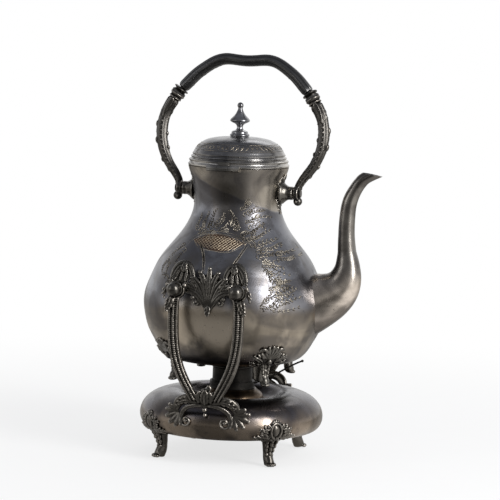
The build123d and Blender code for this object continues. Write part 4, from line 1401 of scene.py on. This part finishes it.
@dataclass
class Lid:
    """Domed lid with moulded rim, an engraved zigzag band and a turned knob.

    Attributes:
        rim: radius and height of the moulded rim, from its inner edge up to the dome.
        dome: radius and height of the dome's outside, up to the axis.
        knob: radius and height of the knob, from its foot to its ball.
        ball: the ball's radius and the height of its middle.
        wall: thickness of the dome.
        teeth: how often the zigzag repeats.
        band: lowest and highest part of the zigzag.
    """

    rim: Points = ((44.4, 290.0), (49.8, 290.0), (50.4, 290.7), (50.4, 291.6), (49.6, 292.4), (48.9, 293.4),
                   (48.9, 294.2), (49.6, 294.8), (49.7, 295.7), (49.0, 296.3), (47.6, 296.7), (47.1, 297.4),
                   (47.5, 298.0), (47.9, 298.6), (47.6, 299.3), (46.4, 299.8), (45.9, 300.6), (46.3, 301.2),
                   (46.3, 302.0), (45.4, 303.0))
    dome: Points = ((45.0, 304.0), (42.4, 308.0), (38.4, 312.0), (33.2, 315.0), (27.0, 316.9), (18.0, 318.2),
                    (9.0, 318.8), (0.0, 319.0))
    knob: Points = ((8.8, 319.2), (9.7, 319.8), (9.6, 321.0), (8.3, 322.2), (8.2, 323.2), (4.4, 325.4),
                    (3.0, 328.0), (3.4, 330.0), (5.0, 331.6), (9.2, 333.8), (9.9, 334.8), (9.3, 336.2),
                    (6.6, 339.0), (3.7, 343.0), (2.3, 346.4))
    ball: tuple[float, float] = (3.1, 349.8)
    wall: float = 1.4
    teeth: int = 52
    band: tuple[float, float] = (306.9, 311.6)

    def shell(self, bench: Bench) -> None:
        """Builds the dome and its moulded rim as one thin wall."""
        dome = SmoothLine(self.dome).sample(40)
        inside = offset(dome, self.wall)[::-1]
        inside[0, 0] = 0.0
        outline = [*self.rim, *dome.tolist(), *inside.tolist(), (44.4, 301.0)]
        bench.place(Form().turn(outline, 144, closed=True), "lid_dome", Body.LID, Slot.LID, "lid_shell")

    def zigzag(self, bench: Bench) -> None:
        """Builds the engraved band of crossing teeth between two lines."""
        dome = SmoothLine(self.dome).sample(60)
        form, (low, high) = Form(), self.band
        step = 360 / self.teeth
        for i in range(self.teeth):
            host = Hug(dome, i * step)
            width = radians(step) * 40.5 / 2
            for hand in (-1, 1):
                form.ridge(host, [(-width * hand, low), (0, (low + high) / 2), (width * hand, high)],
                           [0.36] * 2, [0.2] * 2, sink=0.25, rings=3, sides=4)
        rows = Hug(dome, 0)
        for height in (low - 0.7, high + 0.6):
            reach = float(rows.radius(np.array(height)))
            ring = [(reach + 0.25 * cos(t), height + 0.25 * sin(t)) for t in np.linspace(0, 2 * pi, 6, False)]
            form.turn(ring, 96, closed=True)
        finish = PlainFinish("lid cuts", (0.46, 0.40, 0.31), (0.05, 0.045, 0.04), 1.0, 0.45, 300.0).material()
        bench.place(form, "lid_band", Body.LID, Slot.LID, material=finish)

    def finial(self, bench: Bench) -> None:
        """Builds the knob: a flared disc on a waisted stem, drawn up to a ball."""
        radius, height = self.ball
        turns = np.linspace(-0.75, pi / 2, 14)
        ball = [(radius * cos(t), height + radius * sin(t)) for t in turns[:-1]] + [(0.0, height + radius)]
        outline = [(0.0, 318.9), (8.8, 318.9), *SmoothLine(self.knob).sample(70).tolist(), *ball]
        bench.place(Form().turn(outline, 96), "lid_knob", Body.LID, Slot.LID, "finial")

    def build(self, bench: Bench) -> None:
        """Makes the pieces."""
        self.shell(bench)
        self.zigzag(bench)
        self.finial(bench)


@dataclass
class Handle:
    """Swing handle: grooved grip, ferrules and foliate arms that end in curled balls.

    Attributes:
        pivot: height of the pivots.
        lean: how far it lies back, in degrees.
        grip: half width and height along the grip's middle.
        grip_half: its radii.
        arm: the front arm's middle, from the ferrule down.
        arm_half: its radii.
        joint: where grip and arm meet.
        eye: where the flat eye round the pivot starts and ends.
        grip_cell: size of the cells in which the grip is melted into one skin.
        arm_cell: the same for the arms.
    """

    pivot: float = 265.0
    lean: float = 9.0
    grip: Points = ((0, 395.2), (12, 396.0), (23, 396.4), (33, 393.4), (42, 387.8), (51.5, 380.4),
                    (60.5, 371.0), (66.2, 364.9))
    grip_half: Sequence[float] = (5.9, 5.9, 6.1, 6.2, 6.2, 6.3, 6.4, 6.3)
    arm: Points = ((73.0, 355.2), (77.2, 348.5), (81.9, 338.0), (84.0, 325.7), (83.2, 312.6), (79.8, 300.6),
                   (74.2, 289.8), (67.2, 280.6), (62.4, 272.6), (60.8, 265.5))
    arm_half: Sequence[float] = (6.6, 6.0, 5.7, 5.9, 5.7, 5.4, 5.0, 4.5, 4.0, 3.8)
    joint: tuple[float, float] = (69.5, 360.7)
    eye: tuple[float, float] = (57.7, 63.3)
    grip_cell: float = 0.55
    arm_cell: float = 0.5

    def _leant(self, form: Form) -> Form:
        """The form, laid back about the pivots."""
        bmesh.ops.rotate(form.bm, cent=(0, 0, self.pivot),
                         matrix=Matrix.Rotation(radians(-self.lean), 3, "X"), verts=form.bm.verts)
        return form

    def grip_bar(self, bench: Bench) -> None:
        """Builds the grooved grip with a leaf collar at each end."""
        line = side_line([*((-x, z) for x, z in self.grip[:0:-1]), *self.grip])
        radii = [*self.grip_half[:0:-1], *self.grip_half]
        form = Form().bar(line, radii, rings=120, sides=48, flutes=6, flute=0.16, blunt=60)
        for share, way in ((0.0, 1), (1.0, -1)):
            host = Stem(line, radii)
            for i in range(6):
                about = 2 * pi * 6.3 * i / 6
                form.ridge(host, [(about, share + way * 0.012), (about + 0.6, share + way * 0.05),
                                  (about, share + way * 0.085)], [2.6, 2.2, 0.5], [0.5, 0.6, 0.2], groove=0.5,
                           rings=10)
        bench.place(self._leant(form.fused(self.grip_cell, 1)), "grip_bar", Body.HANDLE, Slot.GRIP,
                    "handle_grip", cast=True)

    def ferrules(self, bench: Bench) -> None:
        """Builds the flanged spools between grip and arms."""
        run = Vector((self.arm[0][0] - self.grip[-1][0], 0, self.arm[0][1] - self.grip[-1][1])).normalized()
        at = Vector((self.joint[0], 0, self.joint[1]))
        radii = [6.4, 7.6, 8.0, 7.7, 6.2, 5.6, 6.0, 7.0, 6.8]
        for name, hand in (("front", 1), ("rear", -1)):
            ends = [at - run * 5.6, at - run * 0.9]
            line = side_line([(hand * end.x, end.z) for end in ends])
            form = Form().bar(line, radii, rings=40, sides=40, blunt=80).capped()
            bench.place(self._leant(form), f"ferrule_{name}", Body.HANDLE, Slot.HANDLE_CAST,
                        f"handle_ferrule_{name}")

    def arms(self, bench: Bench) -> None:
        """Builds the front arm as a casting, and its mirror image behind."""
        line = side_line(self.arm)
        form = Form().bar(line, self.arm_half, rings=90, sides=32, flutes=4, flute=0.14, blunt=40)
        top = Vector(line.point(0.0))
        run = (top - Vector(line.at(np.array([4.0]))[0])).normalized()
        collar = SmoothLine([tuple(top - run * 0.5), tuple(top + run * 5.6)])
        form.bar(collar, [6.4, 7.0, 5.8, 6.2, 7.4, 7.8, 7.4], rings=30, sides=36, blunt=80)
        host = Stem(line, self.arm_half)
        size = self.arm_half[0]
        for i in range(5):
            about = 2 * pi * size * i / 5
            form.ridge(host, [(about, 0.0), (about * 0.95, 0.12), (about * 0.86, 0.235)],
                       [2.6, 3.0, 2.2, 0.4], [0.8, 1.1, 1.3, 0.9], groove=0.55, rings=14)
        for share, about, lobe in ((0.30, 1.57, 2.6), (0.46, 1.57, 3.0), (0.40, -1.57, 2.4),
                                   (0.56, -1.57, 2.2), (0.66, 1.57, 2.2), (0.78, 1.57, 1.8)):
            radius = float(even(self.arm_half, np.array([share]))[0])
            mid = about * radius
            form.bead(host, (mid, share, 0.1), lobe, (1.0, 0.011, 0.5))
            for hand in (-1, 1):
                form.ridge(host, [(mid + hand * 3.4, share - 0.07), (mid + hand * 1.6, share - 0.02),
                                  (mid, share + 0.03)],
                           [0.6, 1.1, 0.8], [0.5, 0.9, 1.0], groove=0.3, rings=10)
        for side in (0.0, pi):
            for i in range(13):
                share = 0.27 + i * 0.05
                radius = float(even(self.arm_half, np.array([share]))[0])
                form.bead(host, (side * radius, share, 0.1), 1.0 - 0.03 * i, (1.0, 0.012, 0.7), 1)
        form.bead(as_is, (62.4, 0, 257.2), 4.5, detail=3)
        form.bead(as_is, (61.6, -3.6, 256.4), 1.6)
        form.bead(as_is, (61.6, 3.6, 256.4), 1.6)
        form.bar(side_line([(x, self.pivot) for x in self.eye]), [7.0, 7.4, 7.4, 7.0], rings=8, sides=32,
                 blunt=30)
        form = self._leant(form.fused(self.arm_cell, 1))
        bench.pair(form, "X", ("arm", "handle_arm"), Body.HANDLE, Slot.HANDLE_CAST)

    def build(self, bench: Bench) -> None:
        """Makes the pieces."""
        self.grip_bar(bench)
        self.ferrules(bench)
        self.arms(bench)


@dataclass
class Sockets:
    """Leaf plates on the neck with the trumpet stubs that carry the handle.

    Attributes:
        walls: the turned walls.
        pivot: height of the pivots.
        stub: radii of a stub, from the neck out.
        reach: where it starts and ends.
        cell: size of the cells in which a casting is melted into one skin.
    """

    walls: Walls
    pivot: float = 265.0
    stub: Sequence[float] = (12.0, 11.0, 9.0, 7.4, 6.5, 6.7, 6.6)
    reach: tuple[float, float] = (44.5, 57.3)
    cell: float = 0.42

    def build(self, bench: Bench) -> None:
        """Builds the front socket and its mirror image behind."""
        host = self.walls.on_kettle(0.0)
        z = self.pivot
        form = Form()
        form.scroll(host, (7.2, z + 10.5, 0.8), 3.4, 0, -1.1, 1.1, 1.0)
        form.scroll(host, (7.0, z - 8.5, 0.8), 3.0, 0, 1.1, 1.0, 1.0)
        form.leaf(host, [(2.0, z - 9.5, 0.8), (3.2, z - 15), (2.0, z - 20)], 3.0, 1.1, 2)
        form.doubled("Y").bar(side_line([(x, z) for x in self.reach]), self.stub, rings=24, sides=36,
                              blunt=60)
        form.ridge(host, [(0, z - 19), (0, z), (0, z + 17.5)], [3.5, 8.0, 9.5, 10.0, 7.0],
                   [0.7, 1.2, 1.2, 0.8], sink=1.0, rings=24, sides=24)
        form.leaf(host, [(0, z + 9, 0.8), (0, z + 14, 0.8), (0, z + 19, 0.6)], 5.5, 1.2, 2)
        for i in range(8):
            form.bead(host, (0.0, z - 20.5 + i * 1.7, 0.8), 1.25 - 0.03 * i, (1, 1, 0.7))
        bench.pair(form.fused(self.cell, 1), "X", ("socket", "handle_socket"), Body.KETTLE, Slot.CAST)


@dataclass
class SideCastings:
    """Palmettes on the kettle's sides with hooded arms, and the knobs that hang in the cradles.

    Attributes:
        pivot: place of a trunnion, across and up.
        sheet: heights and distances of the palmette's back.
        knob: radius and distance from the middle plane of a knob's outline.
        ribs: how many ribs the palmette has.
        root: height where they leave.
        length: length of the middle one.
        cell: size of the cells in which a casting is melted into one skin.
    """

    pivot: tuple[float, float] = (31.3, 175.0)
    sheet: tuple[Sequence[float], Sequence[float]] = ((140, 152, 166, 182, 197, 204),
                                                      (91.6, 92.2, 92.2, 90.8, 86.5, 84.0))
    knob: Points = ((0.0, 87.5), (4.2, 87.5), (4.2, 88.0), (3.0, 88.3), (3.0, 98.4), (4.0, 98.8), (6.9, 99.1),
                    (7.4, 99.8), (6.8, 100.6), (5.0, 101.0), (5.9, 102.2), (6.6, 104.0), (6.5, 106.2),
                    (5.6, 108.3), (4.0, 110.0), (1.9, 111.0), (0.0, 111.2))
    ribs: int = 7
    root: float = 149.0
    length: float = 47.0
    cell: float = 0.45

    def palmette(self, bench: Bench) -> None:
        """Builds the near casting and its mirror image on the far side."""
        host, form = Upright(*self.sheet), Form()
        x, z = self.pivot
        form.ridge(host, [(3, 157, 0), (9, 167, 0.5), (17, 172.5, 0.5), (24, 173, 0.2)],
                   [1.6, 2.6, 3.0, 2.6], [1.8, 2.2, 2.2, 1.8], sink=4.0, groove=0.35, rings=24, sides=12)
        form.scroll(host, (11.5, 162.5, 0.4), 4.0, 90, -1.2, 1.3, 1.5)
        form.bead(host, (15.5, 166.8, 0.6), 2.0)
        form.leaf(host, [(12, 173, 1.2), (16, 180, 1.2), (20, 186, 1.0)], 4.0, 1.3, 3)
        hood = [(15.5, 180), (17.0, 190), (22, 197.5), (28.5, 198.5), (35.0, 192), (38.0, 182)]
        form.ridge(host, [(a, b, 1.0) for a, b in hood], [2.0, 2.6, 3.0, 3.2, 3.0, 2.2],
                   [1.8, 2.4, 2.8, 2.8, 2.2], sink=3.0, groove=0.45, rings=30, sides=16)
        form.ridge(host, [(25.0, 195, 0.0), (27, 187, 0.0), (x, 178, 0.0)], [5.5, 7.0, 7.4, 6.6],
                   [0.9, 0.8, 0.8], sink=4.0, rings=16, sides=14)
        for lean in (-1, 0, 1):
            form.ridge(host, [(25 + lean * 1.5, 198, 1.6), (27.4 + lean * 4.2, 190, 1.2),
                              (29.5 + lean * 5.4, 181, 1.0)], [0.9, 1.5, 1.6, 0.9], [1.4, 1.8, 1.2],
                       groove=0.3, rings=16)
        form.leaf(host, [(26, 190, 3.0), (25.4, 196, 3.2), (24.8, 201, 2.0)], 4.2, 1.6, 3, 40)
        form.leaf(host, [(33, 188, 1.6), (37.5, 182, 1.4), (41.0, 176, 0.4)], 3.2, 1.4, 3, 40)
        form.bar(SmoothLine([(x, -86.5, z), (x, -93.6, z)]), [6.9, 7.2, 6.8], rings=8, sides=32, blunt=30)
        form.bead(host, (39.2, 176.5, 0.5), 1.9)
        form.bead(host, (22.2, 177.5, 0.8), 2.2)
        form.doubled("X")
        for i in range(self.ribs):
            off = 2 * i / (self.ribs - 1) - 1
            angle, length = radians(90 - 33 * off), self.length * (1 - 0.2 * abs(off))
            across, rise = length * cos(angle) * 1.12, length * sin(angle)
            rib = [(0, self.root + 0.5, 0.4), (across * 0.30, self.root + rise * 0.55, 0.2),
                   (across * 0.68, self.root + rise * 0.86, 0.6), (across, self.root + rise, 1.8)]
            form.ridge(host, rib, [0.9, 1.8, 2.5, 3.0, 2.7], [1.6, 2.0, 1.8, 2.2], sink=4.5, groove=0.6,
                       rings=26, sides=16)
            form.bead(host, (across, self.root + rise - 0.6, 1.8), 2.1, (1, 0.9, 0.8))
        form.ridge(host, [(0, 150, -2.5), (0, 168, -2.5), (0, 190, -2.5)], [2.5, 8, 13, 15, 12], [1.5] * 2,
                   sink=5.0, rings=20, sides=16)
        form.leaf(host, [(0, 160, 1.6), (0, 150.5, 1.8), (0, 147.6, 1.2)], 4.2, 1.3, 3)
        bench.pair(form.fused(self.cell, 1), "Y", ("palmette", "lug"), Body.KETTLE, Slot.CAST)

    def knobs(self, bench: Bench) -> None:
        """Builds the four ball-ended trunnion pins."""
        for name, hand, body in (("front", 1, Body.FRONT_TRUNNIONS), ("rear", -1, Body.KETTLE)):
            form = Form().turn(self.knob, 40)
            bmesh.ops.rotate(form.bm, cent=(0, 0, 0), matrix=Matrix.Rotation(radians(90), 3, "X"),
                             verts=form.bm.verts)
            bmesh.ops.translate(form.bm, vec=(hand * self.pivot[0], 0, self.pivot[1]), verts=form.bm.verts)
            bench.pair(form, "Y", (f"trunnion_knob_{name}", f"trunnion_{name}"), body, Slot.CAST, cast=False)

    def build(self, bench: Bench) -> None:
        """Makes the pieces."""
        self.palmette(bench)
        self.knobs(bench)


@dataclass
class Feet:
    """Paw feet with shells under the kettle and cartouches under the stand.

    Attributes:
        walls: the turned walls.
        turns: the direction of each foot.
        kettle_leg: reach, height, half length and half width down a kettle foot.
        base_leg: the same for a foot of the stand.
        beads: reach and size of the beads down a foot of the stand.
        kettle_cell: size of the cells in which a kettle foot is melted into one skin.
        base_cell: the same for a foot of the stand.
    """

    walls: Walls
    turns: tuple[tuple[str, float], ...] = (("front_near", -45), ("front_far", 45), ("rear_far", 135),
                                            ("rear_near", 225))
    kettle_leg: Points = ((63, 103, 7.0, 10), (64.0, 93, 4.0, 4.6), (63.8, 87.5, 3.3, 3.5),
                          (65.2, 83.0, 4.2, 4.3), (66.4, 79.6, 5.0, 4.9), (66.2, 77.4, 3.6, 3.8))
    base_leg: Points = ((79.5, 34, 9.0, 9.5), (77.0, 23, 6.4, 7.4), (76.6, 14, 4.8, 5.6), (77.8, 8, 4.8, 4.7),
                        (79.8, 3, 5.8, 4.8), (80.2, 0.6, 5.6, 4.6))
    beads: Points = ((86.0, 2.9), (84.2, 2.5), (82.4, 2.1), (81.8, 1.7))
    kettle_cell: float = 0.42
    base_cell: float = 0.45

    @staticmethod
    def _leg(form: Form, stations: Points, toe: float, spread: float) -> None:
        """Adds a leg that narrows to an ankle and ends in a paw of four toes, pointing along +X."""
        rows = np.array(stations, float)
        line = side_line(rows)
        form.bar(line, rows[:, 3].tolist(), rows[:, 2].tolist(), rings=40, sides=28, blunt=30).capped()
        x, z, deep, wide = rows[-1]
        for i, share in enumerate((-0.75, -0.26, 0.26, 0.75)):
            out = x + deep * (0.95 - 0.45 * share * share)
            form.bead(as_is, (out, wide * share * spread, z + toe * 0.8), toe, (1.25, 0.95, 0.8))
            form.ridge(as_is, [(x, wide * share * 0.6, z + toe * 3.2),
                               (x + deep * 0.6, wide * share * 0.85, z + toe * 2.0),
                               (out, wide * share * spread, z + toe * 1.1)], [toe * 0.5] * 2, [toe * 0.5] * 2,
                       rings=10)
        for height, reach in ((rows[1][1], rows[1][0] + rows[1][2]),
                              (rows[2][1] + 2, rows[2][0] + rows[2][2])):
            form.bead(as_is, (reach - 0.6, 0, height), 2.0, (0.7, 1.2, 1.1))

    def _kettle_foot(self) -> Form:
        """Foot with a curled shell that hugs the body, facing +X."""
        host = self.walls.on_kettle(0.0)
        form = Form()
        form.scroll(host, (9.0, 103.5, 0.8), 4.0, 90, -1.2, 1.4, 2.0)
        form.leaf(host, [(6, 103, 0.8), (13, 108, 1.0), (20.5, 109.5, 0.4)], 5.2, 2.0, 3)
        form.leaf(host, [(8, 100.5, 0.4), (15, 101.0, 0.6), (21, 104.5, 0.2)], 3.4, 1.5, 3)
        form.ridge(host, [(4, 112, 1.0), (10, 117, 1.2), (14.5, 114.5, 0.6)], [1.2, 1.8, 1.4, 0.8],
                   [1.6, 2.0, 1.4], groove=0.3)
        for i, size in enumerate((2.2, 1.9, 1.6, 1.3)):
            form.bead(as_is, (67.4 - 0.1 * i, 3.4 - 0.35 * i, 98.5 - 3.6 * i), size, (0.8, 0.8, 1.3))
        self._leg(form.doubled("Y"), self.kettle_leg, 2.2, 0.8)
        form.ridge(host, [(0, 100, 0), (0, 110, 0), (0, 117.5, 0)], [9, 11, 9, 5], [1.4] * 2, sink=1.5,
                   rings=16, sides=16)
        form.fan(host, (0, 103.5, 1.2), 38, 104, 7, 15.5, 2.1, 2.2)
        form.bead(host, (0, 103.5, 2.2), 3.0, (1, 1, 0.7))
        form.scroll(host, (0.0, 117.5, 1.6), 3.2, 200, 1.0, 1.4, 1.6)
        return form.fused(self.kettle_cell, 1)

    def _base_foot(self) -> Form:
        """Foot with an oval cartouche framed by scrolls and leaves, facing +X."""
        host = self.walls.on_base(0.0)
        form = Form()
        form.scroll(host, (8.6, 41.6, 0.8), 3.6, 50, -1.1, 1.4, 2.0)
        form.scroll(host, (9.4, 32.2, 0.8), 3.8, 130, 1.1, 1.4, 2.0)
        form.leaf(host, [(6, 30.8, 0.8), (15, 32.0, 0.8), (25.0, 31.4, 0.3)], 4.4, 1.8, 4)
        form.leaf(host, [(8, 36, 0.8), (13.5, 37.5, 0.8), (18.5, 40.5, 0.3)], 3.8, 1.6, 3)
        form.ridge(host, [(3, 30.5, 1.0), (5.5, 27.5, 0.8), (10, 27.0, 0.4)], [1.6, 1.6, 0.8],
                   [1.8, 1.6, 1.0], groove=0.3)
        for i, (reach, size) in enumerate(self.beads):
            form.bead(as_is, (reach - 1.4, 5.2 - 0.7 * i, 26.5 - 5.0 * i), size * 0.9, (0.8, 0.7, 1.5))
        self._leg(form.doubled("Y"), self.base_leg, 2.3, 0.95)
        form.ridge(host, [(0, 29, 0), (0, 38, 0), (0, 47.5, 0)], [8, 10.5, 9.5, 5], [1.2] * 2, sink=1.5,
                   rings=18, sides=18)
        oval = [(5.6 * cos(t), 37.5 + 7.0 * sin(t), 1.0) for t in np.linspace(-pi / 2, 1.5 * pi, 13)]
        form.ridge(host, oval, [1.3] * 2, [1.7] * 2, rings=40, sides=10, blunt=80)
        form.bead(host, (0, 37.5, 0.6), 4.6, (0.9, 1.25, 0.42), 3)
        form.fan(host, (0, 41.5, 1.0), 40, 100, 5, 6.0, 1.9, 2.0)
        form.scroll(host, (0, 29.5, 1.4), 3.0, 90, 1.1, 1.4, 2.0)
        for i, (reach, size) in enumerate(self.beads):
            form.bead(as_is, (reach, 0, 28.5 - 5.2 * i), size, (0.6, 0.9, 1.5))
        return form.fused(self.base_cell, 1)

    def build(self, bench: Bench) -> None:
        """Makes the eight feet from two castings."""
        for kind, foot, body, slot in (("kettle_foot", self._kettle_foot(), Body.KETTLE, Slot.CAST),
                                       ("base_foot", self._base_foot(), Body.STAND, Slot.STAND_CAST)):
            for name, turn in self.turns:
                bench.place(foot.turned(turn), f"{kind}_casting_{name}", body, slot, f"{kind}_{name}",
                            cast=True)
            foot.bm.free()


@dataclass
class Brackets:
    """Two U-shaped side frames: reeded arms with open cradles over scrolls, shells and leaves.

    Attributes:
        path: across, distance and height of an arm's middle.
        half: half widths of an arm.
        pivot: place of a cradle, across and up.
        clasp: radius and height of the surface that the clasp hugs.
        rungs: how many beads run down the middle of an arm.
        cell: size of the cells in which a frame is melted into one skin.
    """

    path: Points = ((9.5, 92.6, 65), (17.2, 94.4, 78.5), (23.6, 95.8, 91), (28.6, 96.8, 105),
                    (31.6, 97.1, 120), (32.8, 97.1, 136), (33.0, 97.1, 150), (32.6, 97.1, 160),
                    (31.6, 97.1, 168.5))
    half: Sequence[float] = (4.6, 5.2, 5.6, 5.7, 5.7, 5.7, 5.7, 5.4, 4.8)
    pivot: tuple[float, float] = (31.3, 175.0)
    clasp: Points = ((91.0, 33.0), (92.0, 41.5), (91.2, 48), (90.6, 53), (91.4, 58), (92.4, 64), (93.6, 72),
                     (94.4, 80))
    rungs: int = 54
    cell: float = 0.52

    def _arm(self, form: Form) -> None:
        """Adds the front arm with its reeds, beads, ladder, cradle and pendant leaf."""
        line = SmoothLine([(x, -y, z) for x, y, z in self.path])
        form.bar(line, [1.9] * 2, self.half, side=(0, 1, 0), rings=90, sides=20, blunt=30)
        rows = np.array(self.path, float)
        host = Upright(rows[:, 2], rows[:, 1] + 1.2)
        middle = [(x, z, 0.0) for x, y, z in self.path]
        for shift, half, high in ((-4.3, 1.15, 2.0), (4.3, 1.15, 2.0), (0.0, 1.5, 1.5)):
            form.ridge(host, [(a + shift * (0.95 if b > 70 else 0.85), b, c) for a, b, c in middle],
                       [half] * 2, [high] * 2, sink=1.2, rings=70, sides=10, blunt=20)
        face = SmoothLine(middle)
        for i in range(self.rungs):
            place = face.point(0.03 + 0.94 * i / (self.rungs - 1))
            form.bead(host, (*place[:2], 1.2), 1.15, (1.1, 0.82, 1.0), 1)
            for side in (-2.6, 2.6):
                form.bead(host, (place[0] + side, place[1], 0.7), 0.8, (1.5, 0.72, 0.9), 1)
        x, z = self.pivot
        plate = Upright((140, 200), (94.8, 94.8))
        for turn in range(3):
            reach = 8.4 - 2.2 * turn
            arc = [(x + reach * cos(t), z - 0.6 + reach * sin(t), 0.0)
                   for t in np.linspace(radians(-208 + 14 * turn), radians(28 - 14 * turn), 11)]
            form.ridge(plate, arc, [1.5] * 2, [4.6 - 0.5 * (turn == 1)] * 2, sink=0.2, rings=40, sides=12,
                       blunt=30)
        for side in (-1, 1):
            form.bead(plate, (x + side * 8.6, z + 3.4, 2.6), 2.2, (1, 1.1, 0.9))
        form.leaf(plate, [(x + 9.0, z + 2.0, 2.0), (x + 11.5, z - 4, 2.4), (x + 12.0, z - 12, 1.0)],
                  3.6, 1.8, 3)
        pendant = Upright((140, 200), (98.4, 98.8))
        form.leaf(pendant, [(x + 3.5, z - 7, 1.2), (x + 5.6, z - 15, 2.2), (x + 9.0, z - 24, 1.2)],
                  5.2, 2.0, 4, 42)
        form.ridge(pendant, [(x + 3.5, z - 7, 0), (x + 5.6, z - 15, 0), (x + 8.4, z - 22, 0)],
                   [3.0, 4.2, 3.2, 0.8], [1.6] * 2, sink=2.0, rings=12, sides=12)

    def _half_clasp(self, form: Form) -> None:
        """Adds the front half of the clasp: arch, volute, shell and leaves."""
        host = Hug(np.array(self.clasp))
        arch = [(3.0, 63.5, 0.0), (12.0, 66.8, 0.4), (20.5, 66.8, 0.4), (28.5, 61.5, 0.2), (30.5, 54.0, 0.2)]
        form.ridge(host, arch, [2.8, 4.0, 4.8, 5.0, 3.6], [2.0, 2.8, 3.2, 2.6], sink=2.4, groove=0.45,
                   rings=30, sides=16)
        lower = [(1.0, 61.5, 0.4), (9.5, 61.4, 0.6), (17.5, 59.0, 0.4), (23.4, 53.0, 0.2), (25.0, 46.5, 0.2)]
        form.ridge(host, lower, [1.2, 2.0, 2.6, 2.2], [2.0, 2.6, 3.0, 2.6], sink=1.6, groove=0.3, rings=30,
                   sides=14)
        form.scroll(host, (19.6, 45.3, 0.2), 5.6, 0, -1.25, 1.6, 2.4)
        form.bead(host, (19.6, 45.3, 1.2), 2.2)
        form.fan(host, (26.8, 53.5, 0.0), 28, -128, 6, 15.6, 2.9, 2.4, 0.22)
        form.leaf(host, [(14, 66.5, 1.8), (23, 65.0, 2.2), (31, 57.0, 1.6)], 4.6, 1.5, 4, 40)
        form.leaf(host, [(8.5, 67.5, 1.2), (13.5, 70.5, 1.6), (19.0, 70.0, 1.2)], 3.4, 1.4, 2)
        form.scroll(host, (9.4, 72.0, 1.4), 3.4, 90, 1.2, 1.3, 1.8)
        form.bead(host, (13.5, 74.5, 1.6), 1.9)
        form.ridge(host, [(5.0, 64, 1.2), (6.5, 71.0, 2.0), (4.0, 77.0, 1.8)], [1.6, 2.2, 2.2, 1.2],
                   [1.8, 2.2, 1.6], groove=0.35, rings=14)

    def _clasp_middle(self, form: Form) -> None:
        """Adds the clasp's middle rib, leaf and pearls."""
        host = Hug(np.array(self.clasp))
        form.ridge(host, [(0, 58, 0), (0, 68, 0.6), (0, 79.5, 0.6)], [3.0, 5.4, 5.4, 3.0], [1.6, 2.0, 1.6],
                   sink=2.4, rings=18, sides=14)
        form.leaf(host, [(0.5, 62, 1.8), (0.6, 71, 2.8), (1.4, 79.5, 3.0)], 6.2, 1.9, 4, 34)
        form.scroll(host, (3.4, 78.5, 2.2), 3.0, 120, -1.1, 1.4, 1.8)
        form.bead(host, (0.0, 57.6, 1.2), 2.5, detail=3)
        form.bead(host, (0.2, 52.2, 1.0), 2.0, detail=3)

    def build(self, bench: Bench) -> None:
        """Builds the near frame and its mirror image on the far side."""
        form = Form()
        self._arm(form)
        self._half_clasp(form)
        self._clasp_middle(form.doubled("X"))
        bench.pair(form.fused(self.cell, 1), "Y", ("frame", "bracket"), Body.STAND, Slot.STAND_CAST)


@dataclass
class Stand:
    """Pillow-shaped base and the burner in its dished top.

    Attributes:
        walls: the turned walls.
        seat: radius and height where the burner's well hangs.
        lip: radius and height of the turned-in lip.
        wall: thickness of the base's metal.
        tank: radius and height of the burner's shoulder.
        chimney: radius, foot and top of the chimney.
    """

    walls: Walls
    seat: tuple[float, float] = (34.0, 54.0)
    lip: tuple[float, float] = (70.0, 26.0)
    wall: float = 1.6
    tank: Points = ((31.6, 32.0), (31.7, 56.0), (31.9, 57.2), (31.5, 58.6), (30.6, 60.4), (28.9, 62.0),
                    (27.2, 63.2), (26.2, 63.7), (25.9, 64.5), (25.2, 65.2), (24.2, 66.4), (8.0, 66.5))
    chimney: Points = ((18.7, 66.6), (22.6, 66.6), (22.8, 67.4), (22.4, 68.1), (20.8, 68.5), (20.1, 69.2),
                       (20.0, 87.0), (20.3, 87.6), (20.9, 88.3), (20.9, 89.3), (20.3, 90.0), (19.4, 90.0),
                       (18.7, 89.4))

    def pillow(self, bench: Bench) -> None:
        """Builds the hollow base."""
        outside = SmoothLine(self.walls.base).sample(90)
        inside = offset(outside, -self.wall)[::-2]
        outline = [(self.seat[0], self.seat[1]), *outside.tolist(), self.lip,
                   (self.lip[0], self.lip[1] + self.wall),
                   *[row for row in inside.tolist() if row[0] < 90 and row[1] > 28 and row[0] > 39],
                   (self.seat[0], self.seat[1] - self.wall)]
        bench.place(Form().turn(outline, 192, closed=True), "base_pillow", Body.STAND, Slot.BASE, "base_top",
                    "base_rim")

    def burner(self, bench: Bench) -> None:
        """Builds the reservoir's skin and the chimney."""
        bench.place(Form().turn(self.tank, 128), "burner_tank", Body.STAND, Slot.BURNER)
        bench.place(Form().turn(self.chimney, 96, closed=True), "chimney_sleeve", Body.STAND, Slot.SOOT,
                    "burner_chimney")

    def build(self, bench: Bench) -> None:
        """Makes the pieces."""
        self.pillow(bench)
        self.burner(bench)


def main() -> None:
    """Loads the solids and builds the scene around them."""
    logging.basicConfig(level=logging.INFO, format="%(name)s %(message)s")
    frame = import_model()
    low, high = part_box("base_bottom_plate")
    axis = (low[0] + high[0]) / 2
    Stage(axis).build()
    bench = Bench({slot: finish.material() for slot, finish in FINISHES.items()}, axis)
    bench.dress_nodes(frame)
    walls = Walls()
    for assembly in (Kettle(walls), Engraving(walls), Lid(), Handle(), Sockets(walls), SideCastings(),
                     Feet(walls), Brackets(), Stand(walls)):
        assembly.build(bench)


if __name__ == "__main__":
    main()
